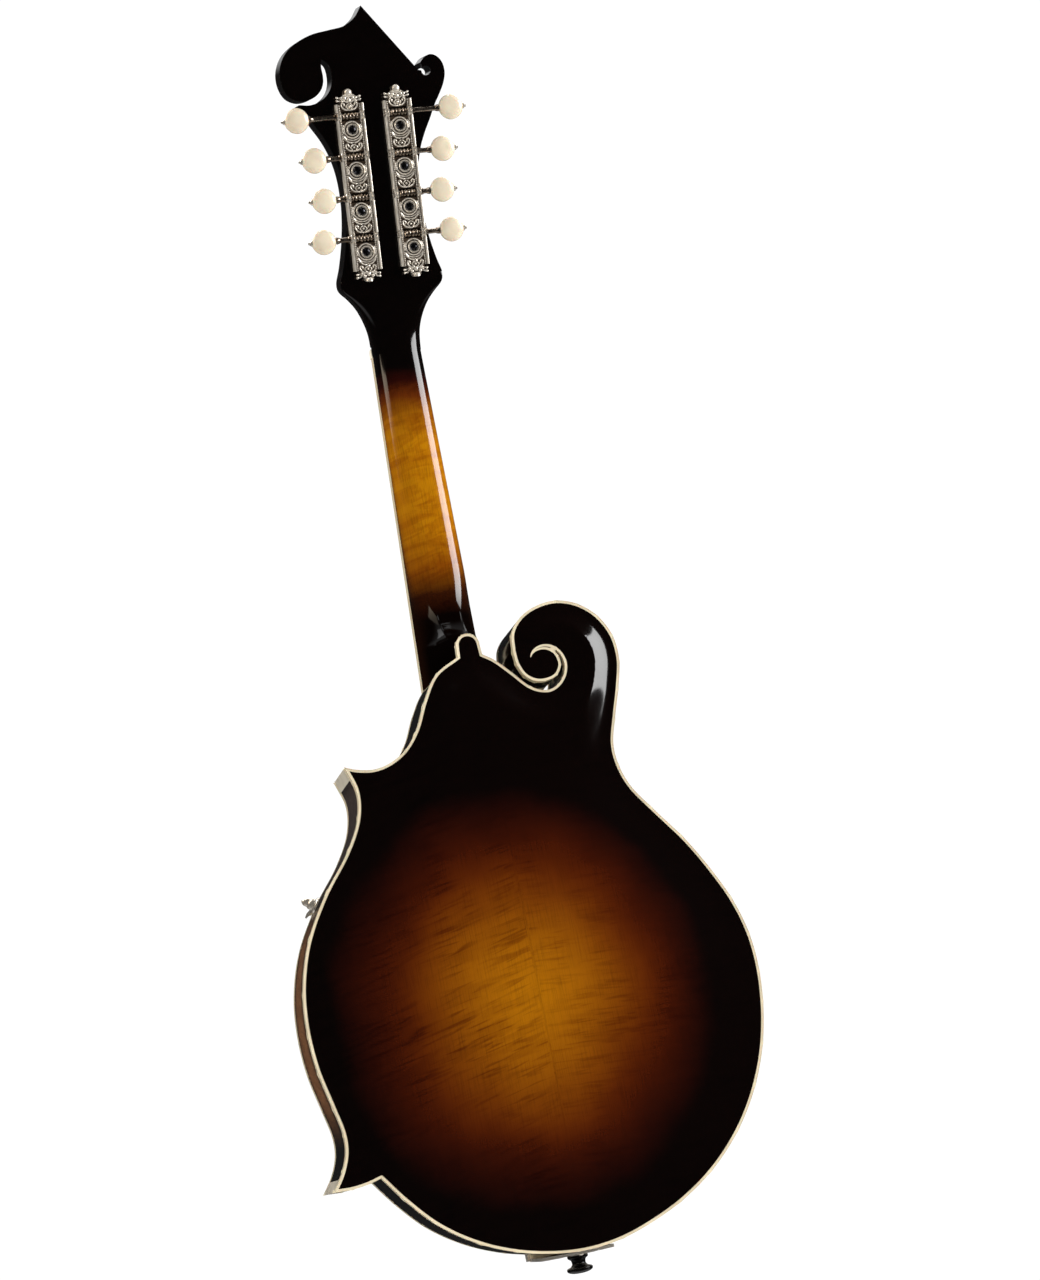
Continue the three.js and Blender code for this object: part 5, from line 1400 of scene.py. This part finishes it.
def string_post(side, side_name, i):
    """Post with a waist for the string at the front and a ring round its screw at the back."""
    label = f"{side_name}_{i + 1}"
    at = (side * POST_ROW_X, 0, POSTS[i])
    bm = bmesh.new()
    profile = [(0, -9), (1.9, -8.9), (2.7, -8.3), (2.95, -7.5), (2.9, -6.8), (2.4, -6.0),
               (2.35, -1.2), (2.9, -0.4), (3, 0.5), (3, 18.7), (3.6, 18.9), (3.6, 21.5),
               (3.5, 21.8), (3.5, 23.3), (3.2, 23.75), (2.85, 23.75), (2.6, 23.4), (2.6, 22.3),
               (0, 22.3)]
    profile = [(r if r else 0.01, y) for r, y in profile]
    turned(bm, profile, "y", at, 40)
    finish_piece(f"string_post_{label}", bm, nickel, body=f"post_{label}",
                 replaces=[f"string_post_{label}"], place=HEAD)
    bm = bmesh.new()
    screw(bm, (at[0], 22.35, at[2]), 2.35, UPRIGHT, outward=1, slot_turn=random.uniform(0, 3))
    finish_piece(f"post_screw_{label}", bm, screw_black, body=f"post_{label}",
                 place=HEAD)
    string = [k for k in range(8) if STRING_POSTS[k] == i and (k < 4) == (side < 0)][0]
    radius = STRING_RADII[string]
    bm = bmesh.new()
    turns, per_turn = 3.5, 28
    middle = WINDING_Y[i]
    rings = []
    for step in range(int(turns * per_turn) + 1):
        angle = 2 * math.pi * step / per_turn
        rise = (step / per_turn - turns / 2) * radius * 2.1 * 0.9
        ring = []
        for k in range(8):
            a = 2 * math.pi * k / 8
            r = WAIST_RADIUS + radius + radius * math.cos(a)
            ring.append((at[0] + r * math.cos(angle), middle + rise + radius * math.sin(a),
                         at[2] + r * math.sin(angle)))
        rings.append(ring)
    loft(bm, rings)
    finish = wound_bronze if string < 4 else steel
    finish_piece(f"winding_{label}", bm, finish, body=f"post_{label}",
                 place=HEAD)


bm = bmesh.new()
for side, side_name in ((-1, "bass"), (1, "treble")):
    tuner_plate(side, side_name)
    for i in range(4):
        worm_shaft(side, side_name, i)
        button(side, side_name, i)
        string_post(side, side_name, i)
        ferrule = [(3.15, 4.0), (3.15, 1.9), (3.7, 1.7), (4.8, 2.4), (4.9, 3.15), (3.6, 3.2),
                   (3.6, 4.0), (3.15, 4.0)]
        turned(bm, ferrule, "y", (side * POST_ROW_X, 0, POSTS[i]), 36)
finish_piece("post_ferrules", bm, nickel, place=HEAD)


# ---------------------------------------------------------------- strings

def tube(bm, route, radius, sides=12):
    """A round tube along a route; each section halves its corner."""
    across = Vector((1, 0, 0))
    rings = []
    for i, point in enumerate(route):
        before = (point - route[max(0, i - 1)]).normalized()
        after = (route[min(len(route) - 1, i + 1)] - point).normalized()
        along = (before + after).normalized()
        right = (across - along * across.dot(along)).normalized()
        up = along.cross(right)
        rings.append([tuple(point + right * (radius * math.cos(2 * math.pi * k / sides))
                            + up * (radius * math.sin(2 * math.pi * k / sides)))
                            for k in range(sides)])
    loft(bm, rings)


def string(i):
    radius = STRING_RADII[i]
    side = -1 if i < 4 else 1
    hook = TAILPIECE @ Vector((HOOK_STRINGS[i], -1.6, 65.2))
    saddle = Vector((SADDLE_STRINGS[i], SADDLE_TOP_Y - radius + 0.1, BRIDGE_Z))
    over_nut = NECK @ Vector((NUT_STRINGS[i], -1.2 - radius, 2.2))
    post_x = side * (POST_ROW_X - WAIST_RADIUS - radius)
    post = HEAD @ Vector((post_x, WINDING_Y[STRING_POSTS[i]], POSTS[STRING_POSTS[i]]))
    bm = bmesh.new()
    tube(bm, [hook, saddle, over_nut, post], radius)
    finish_piece(f"string_{i + 1}", bm, wound_bronze if i < 4 else steel,
                 replaces=[f"string_{i + 1}"])


for i in range(8):
    string(i)


# ---------------------------------------------------------------- bridge

def bridge():
    half, depth, base_top = 56, 4.6, -42.7
    bm = bmesh.new()
    rings = []
    for x in np.concatenate([np.arange(-half, half, 2.0), [half]]):
        end = max(0.0, (abs(x) - 46) / 10)
        d = depth * math.sqrt(max(0.12, 1 - end ** 2))
        top = base_top if abs(x) < 40 else base_top + 7 * eased((abs(x) - 40) / 16)
        low = [-float(outer_height(np.array([x]), np.array([BRIDGE_Z + dz]), TOP_ARCH)[0]) - 0.35
               for dz in (-d, d)]
        top = min(top, max(low) - 1.2)
        rings.append([(x, y, BRIDGE_Z + dz) for dz, y in ((-d, low[0]), (-d, top + 1.2),
                                                          (-d + 0.5, top + 0.35), (-d + 1.4, top),
                                                          (d - 1.4, top), (d - 0.5, top + 0.35),
                                                          (d, top + 1.2), (d, low[1]))])
    loft(bm, rings)
    finish_piece("bridge_base", bm, ebony, replaces=["bridge_base"], crease=45)
    bm = bmesh.new()
    for x in (-WHEEL_X, WHEEL_X):
        profile = [(0.01, -40.5)]
        for k in range(20):
            y = -41 - k * 0.41
            profile += [(1.32, y), (1.5, y - 0.2)]
        profile += [(1.2, -49.4), (0.01, -49.4)]
        turned(bm, profile, "y", (x, 0, BRIDGE_Z), 20)
    finish_piece("bridge_studs", bm, nickel)
    offsets = [0.9, 0.9, -0.6, -0.6, 0.7, 0.7, -0.9, -0.9]
    xs = np.unique(np.round(np.concatenate([
        np.arange(-38, 38.1, 1.0), *[[s - r - 0.3, s - r * 0.7, s + r * 0.7, s + r + 0.3]
                                     for s, r in zip(SADDLE_STRINGS, STRING_RADII)]]), 3))
    bm = bmesh.new()
    rings = []
    for x in xs:
        nearest = int(np.argmin([abs(x - s) for s in SADDLE_STRINGS]))
        shift = offsets[nearest] if abs(x) < 25 else 0.0
        top = SADDLE_TOP_Y
        if abs(x - SADDLE_STRINGS[nearest]) < STRING_RADII[nearest] * 0.9:
            top += 0.5
        outside = eased((abs(x) - 24) / 3)
        top += 2.4 * outside
        bottom = SADDLE_BOTTOM_Y
        rings.append([(x, y, BRIDGE_Z + z) for z, y in (
            (-2.8, bottom), (-2.8, bottom - 3), (min(shift - 0.9, -0.9), top + 0.3),
            (shift - 0.5, top), (shift + 0.5, top), (max(shift + 0.9, 0.9), top + 0.3),
            (2.8, bottom - 3), (2.8, bottom))])
    loft(bm, rings)
    finish_piece("bridge_saddle", bm, ebony, body="saddle",
                 replaces=["bridge_saddle"], crease=40)
    for x, name in ((-WHEEL_X, "bass"), (WHEEL_X, "treble")):
        rings = []
        teeth = 40
        profile = [(1.75, -46.9), (4.8, -46.9), (5.45, -46.5), (5.45, -44.9), (4.8, -44.5),
                   (1.75, -44.5)]
        for radius, y in profile:
            ring = []
            for k in range(teeth * 4):
                angle = 2 * math.pi * k / (teeth * 4)
                knurl = 0.16 * math.cos(teeth * angle) if radius > 5 else 0
                r = radius + knurl
                ring.append((x + r * math.cos(angle), y, BRIDGE_Z + r * math.sin(angle)))
            rings.append(ring)
        bm = bmesh.new()
        loft(bm, rings, closed=True)
        finish_piece(f"thumbwheel_{name}", bm, nickel, body=f"wheel_{name}",
                     replaces=[f"thumbwheel_{name}"])


bridge()


# ---------------------------------------------------------------- tailpiece, end pin and pickguard

def box_mesh(bm, low, high, place=UPRIGHT):
    points = [(x, y, z) for x in (low[0], high[0]) for y in (low[1], high[1])
              for z in (low[2], high[2])]
    faces = [(0, 1, 3, 2), (4, 6, 7, 5), (0, 4, 5, 1), (2, 3, 7, 6), (0, 2, 6, 4), (1, 5, 7, 3)]
    add_faces(bm, points, faces, place)


def tailpiece():
    half = TAILPIECE_HALF_WIDTH
    bm = bmesh.new()
    box_mesh(bm, (-half, 0, 0), (half, 1.3, 68), TAILPIECE)
    for x in HOOK_STRINGS:
        profile = [(0.2, 61.2), (-1.5, 61.6), (-2.4, 62.4), (-2.55, 63.6), (-2.3, 64.4),
                   (-1.6, 64.4), (-1.2, 63.4), (-0.4, 63.0), (0.2, 63.0)]
        loft(bm, [[(x + s, y, z) for y, z in profile] for s in (-0.8, 0.8)], TAILPIECE)
    flap = [(-half, -27.3), (half, -27.3), (half, 2.0), (12, 9.0), (9, 12.6), (6, 13), (-6, 13),
            (-9, 12.6), (-12, 9.0), (-half, 2.0)]
    pin = [(4.2 * math.cos(a), 4.2 * math.sin(a)) for a in np.linspace(0, 2 * math.pi, 33)[:-1]]
    verts, faces, index = fill([np.array(flap, dtype=float), np.array(pin)])
    points = [(x, y, FLAP_Z + rise) for rise in (0, FLAP_THICKNESS) for x, y in verts]
    add_faces(bm, points, closed_faces((flap, pin), faces, index, len(verts)))
    finish_piece("tailpiece_base", bm, nickel, replaces=["tailpiece_base"],
                 bevel=0.2)
    bm = bmesh.new()
    for x, y in ((-13.5, -12), (13.5, -12), (0, 9.3)):
        screw(bm, (x, y, FLAP_Z), 1.9, UPRIGHT, axis="z", outward=-1,
              slot_turn=random.uniform(0, 3))
    finish_piece("tailpiece_screws", bm, nickel)

    outer, inner, crown, wall, length = half + 1.1, half + 0.35, -8.6, 0.8, 64
    columns = 61
    u = np.linspace(-1, 1, columns)
    rings = []
    for z in np.linspace(0, length, 129):
        emboss = np.zeros(columns)
        x = u * outer
        edge = np.minimum(outer - np.abs(x), min(z, length - z))
        emboss = np.maximum(emboss, 0.45 * np.clip(1 - np.abs(edge - 3.2) / 0.7, 0, 1) ** 0.5)
        emboss = np.maximum(emboss, 0.3 * np.clip(1 - np.abs(edge - 5.2) / 0.4, 0, 1) ** 0.5)
        away = np.hypot(x / 10.5, (z - length / 2) / 19)
        emboss = np.maximum(emboss, 0.5 * np.clip(1 - np.abs(away - 1) / 0.06, 0, 1) ** 0.5)
        turn = np.arctan2(z - length / 2, x * 1.8)
        flutes = 0.4 * np.abs(np.sin(turn * 8)) ** 0.7
        flutes = flutes * np.clip((away - 0.3) / 0.1, 0, 1) * np.clip((0.9 - away) / 0.1, 0, 1)
        emboss = np.maximum(emboss, flutes)
        emboss = np.maximum(emboss, 0.6 * np.sqrt(np.clip(1 - (away / 0.24) ** 2, 0, 1)))
        lip = 0.35 * max(0.0, 1 - min(z, length - z) / 0.8)
        top = [(xx, crown + 2.4 * (xx / outer) ** 2 - e * 0.9 + lip + 0.5, 1 + z) for xx,
               e in zip(x, emboss)]
        low = [(xx, crown + wall + 2.4 * (xx / inner) ** 2 + 0.5, 1 + z)
               for xx in (u * inner)[::-1]]
        rings.append(top + [(outer, 1, 1 + z), (inner, 1, 1 + z)] + low
                     + [(-inner, 1, 1 + z), (-outer, 1, 1 + z)])
    bm = bmesh.new()
    loft(bm, rings, TAILPIECE)
    finish_piece("tailpiece_cover", bm, nickel, body="tailpiece_lid",
                 replaces=["tailpiece_cover"])


tailpiece()


def end_pin():
    seat = FLAP_Z - 0.3
    profile = [(0.01, 0), (2.2, 0.05), (3.9, 0.25), (5.6, 0.7), (6.7, 1.3), (7.1, 2.0), (7.15, 2.6),
               (6.9, 3.1), (6.0, 3.5), (4.8, 3.9), (4.1, 4.6), (3.75, 5.4), (3.8, 6.4),
               (4.1, seat - 2.7), (4.7, seat - 2.2), (5.4, seat - 1.8), (5.65, seat - 1.3),
               (5.7, seat - 0.5), (5.5, seat), (3.9, seat), (3.9, 14), (3.3, 27), (0.01, 27)]
    bm = bmesh.new()
    turned(bm, profile, "z", (0, 0, 0), 48)
    finish_piece("end_pin", bm, black_gloss, replaces=["end_pin"], crease=60)


end_pin()


def pickguard():
    route = [(21.3, 306), (27, 303), (35, 292), (45, 277), (53, 258), (56, 238), (52, 219),
             (43, 207), (31, 203), (21.8, 210)]
    loop = tidy_loop(np.array(catmull(route, 8) + [np.array((21.8, 210.0))]), 0.2)
    bm = bmesh.new()
    slab(bm, [loop], GUARD_Y, GUARD_Y + 2)
    finish_piece("pickguard", bm, black_gloss, replaces=["pickguard"],
                 bevel=0.5)
    bm = bmesh.new()
    facing = math.atan2(*CLAMP_FACING[::-1])
    place = Matrix.Translation(Vector(CLAMP_PLACE)) @ Matrix.Rotation(-facing, 4, "Y")
    rings = []
    for radius, x in ((1.65, 3), (3.2, 3), (3.2, 3.4), (3.2, 5.2), (2.9, 5.6), (2.4, 6.2),
                      (2.4, 7.6), (2.2, 8.4), (1.6, 9.3), (0.8, 9.85), (0.05, 10), (0.05, 8.4),
                      (1.65, 8.4)):
        ring = []
        for k in range(72):
            angle = 2 * math.pi * k / 72
            r = radius - (0.15 if radius > 3.1 and k % 3 == 0 else 0)
            ring.append((x, r * math.cos(angle), r * math.sin(angle)))
        rings.append(ring)
    loft(bm, rings, place, closed=True)
    finish_piece("pickguard_clamp_nut", bm, nickel, body="clamp_nut",
                 replaces=["pickguard_clamp_nut"])
    bm = bmesh.new()
    strap_y, thickness = GUARD_Y + 2.1, 1.0
    outer, normal = np.array((107.66, 220.22)), np.array(CLAMP_FACING)
    across = np.array((-CLAMP_FACING[1], CLAMP_FACING[0]))
    corners = [np.array((46, 233.4)), outer - across * STRAP_HALF, outer + across * STRAP_HALF,
               np.array((46, 238.6))]
    slab(bm, [np.array(corners)], strap_y, strap_y + thickness)
    near = outer - normal * thickness
    leg = [near - across * STRAP_HALF, outer - across * STRAP_HALF, outer + across * STRAP_HALF,
           near + across * STRAP_HALF]
    slab(bm, [np.array(leg)], strap_y + 0.3, 8.6)
    turned(bm, [(0.01, 1.2), (4.0, 1.2), (4.5, 1.4), (4.5, 2.3), (4.1, 2.6), (1.3, 2.7), (1.3, 7.5),
                (0.01, 7.5)], "x",
           segments=40, place=place)
    finish_piece("pickguard_bracket", bm, nickel, replaces=["pickguard_bracket"],
                 bevel=0.2)


pickguard()


# ---------------------------------------------------------------- studio

def area_light(name, place, target, size, power, colour=(1, 1, 1)):
    data = bpy.data.lights.new(name, "AREA")
    data.shape = "RECTANGLE"
    data.size, data.size_y = size
    data.energy = power
    data.color = colour
    light = bpy.data.objects.new(name, data)
    light.location = place
    light.rotation_euler = (Vector(target) - Vector(place)).to_track_quat("-Z", "Y").to_euler()
    bpy.context.scene.collection.objects.link(light)


def studio():
    """White paper behind, even light on matt surfaces, and softboxes for the gloss."""
    world = bpy.data.worlds.new("studio")
    world.use_nodes = True
    tree = world.node_tree
    background = tree.nodes["Background"]
    background.inputs["Color"].default_value = (1, 1, 1, 1)

    def maths(operation, *values, **settings):
        made = tree.nodes.new("ShaderNodeMapRange" if operation == "BAND" else "ShaderNodeMath")
        if operation == "BAND":
            made.interpolation_type = "SMOOTHSTEP"
        else:
            made.operation = operation
        for socket, value in zip(made.inputs, values):
            if isinstance(value, bpy.types.NodeSocket):
                tree.links.new(value, socket)
            else:
                socket.default_value = value
        return made.outputs[0]

    path = tree.nodes.new("ShaderNodeLightPath")
    axes = tree.nodes.new("ShaderNodeSeparateXYZ")
    tree.links.new(tree.nodes.new("ShaderNodeTexCoord").outputs["Generated"], axes.inputs[0])
    above = maths("BAND", axes.outputs[2], 0.45, 0.7, 0.0, 1.8)
    below = maths("BAND", axes.outputs[2], -0.7, -0.45, 0.5, 0.0)
    beyond = maths("BAND", axes.outputs[1], -0.1, 0.3, 1.0, 0.0)
    relief = maths("MULTIPLY_ADD", maths("ADD", above, below), beyond, 0.02)
    level = maths("MULTIPLY", path.outputs["Is Glossy Ray"], relief)
    level = maths("MULTIPLY_ADD", path.outputs["Is Camera Ray"], 1.05, level)
    level = maths("MULTIPLY_ADD", path.outputs["Is Diffuse Ray"], 0.74, level)
    tree.links.new(level, background.inputs["Strength"])
    bpy.context.scene.world = world
    bpy.context.scene.view_settings.view_transform = "Standard"

    bm = bmesh.new()
    bmesh.ops.create_circle(bm, cap_ends=True, segments=96, radius=1.3)
    mesh = bpy.data.meshes.new("floor")
    bm.to_mesh(mesh)
    bm.free()
    mesh.materials.append(plain_finish("floor_paper", (0.86, 0.86, 0.85), (0.84, 0.84, 0.83), 0.002,
                                       bump_mm=0.1,
                                       rough=(0.8, 0.9)))
    floor = bpy.data.objects.new("floor", mesh)
    floor.location = (0, 0, -0.28)
    floor.visible_glossy = False
    bpy.context.scene.collection.objects.link(floor)

    area_light("key", (-1.39, 0.56, 0.7), (0, 0, 0.42), (1.05, 0.8), 27)
    area_light("flare_right", (-1.05, 0.12, 1.4), (0, 0, 0.57), (0.35, 0.5), 4.5)
    area_light("flare_left", (0.5, 0.7, 1.55), (0, 0, 0.57), (0.16, 0.3), 1.6)
    area_light("glow", (1.25, 0.25, 1.2), (0, 0, 0.6), (0.8, 0.8), 7, (1.0, 0.84, 0.64))
    area_light("front_left", (-1.1, -0.9, 1.9), (0, 0, 0.35), (0.8, 0.8), 20)
    area_light("front_right", (1.1, -0.9, 1.9), (0, 0, 0.35), (0.8, 0.8), 20)
    area_light("above", (0, 0.1, 1.9), (0, 0, 0.4), (0.6, 0.6), 8)


studio()
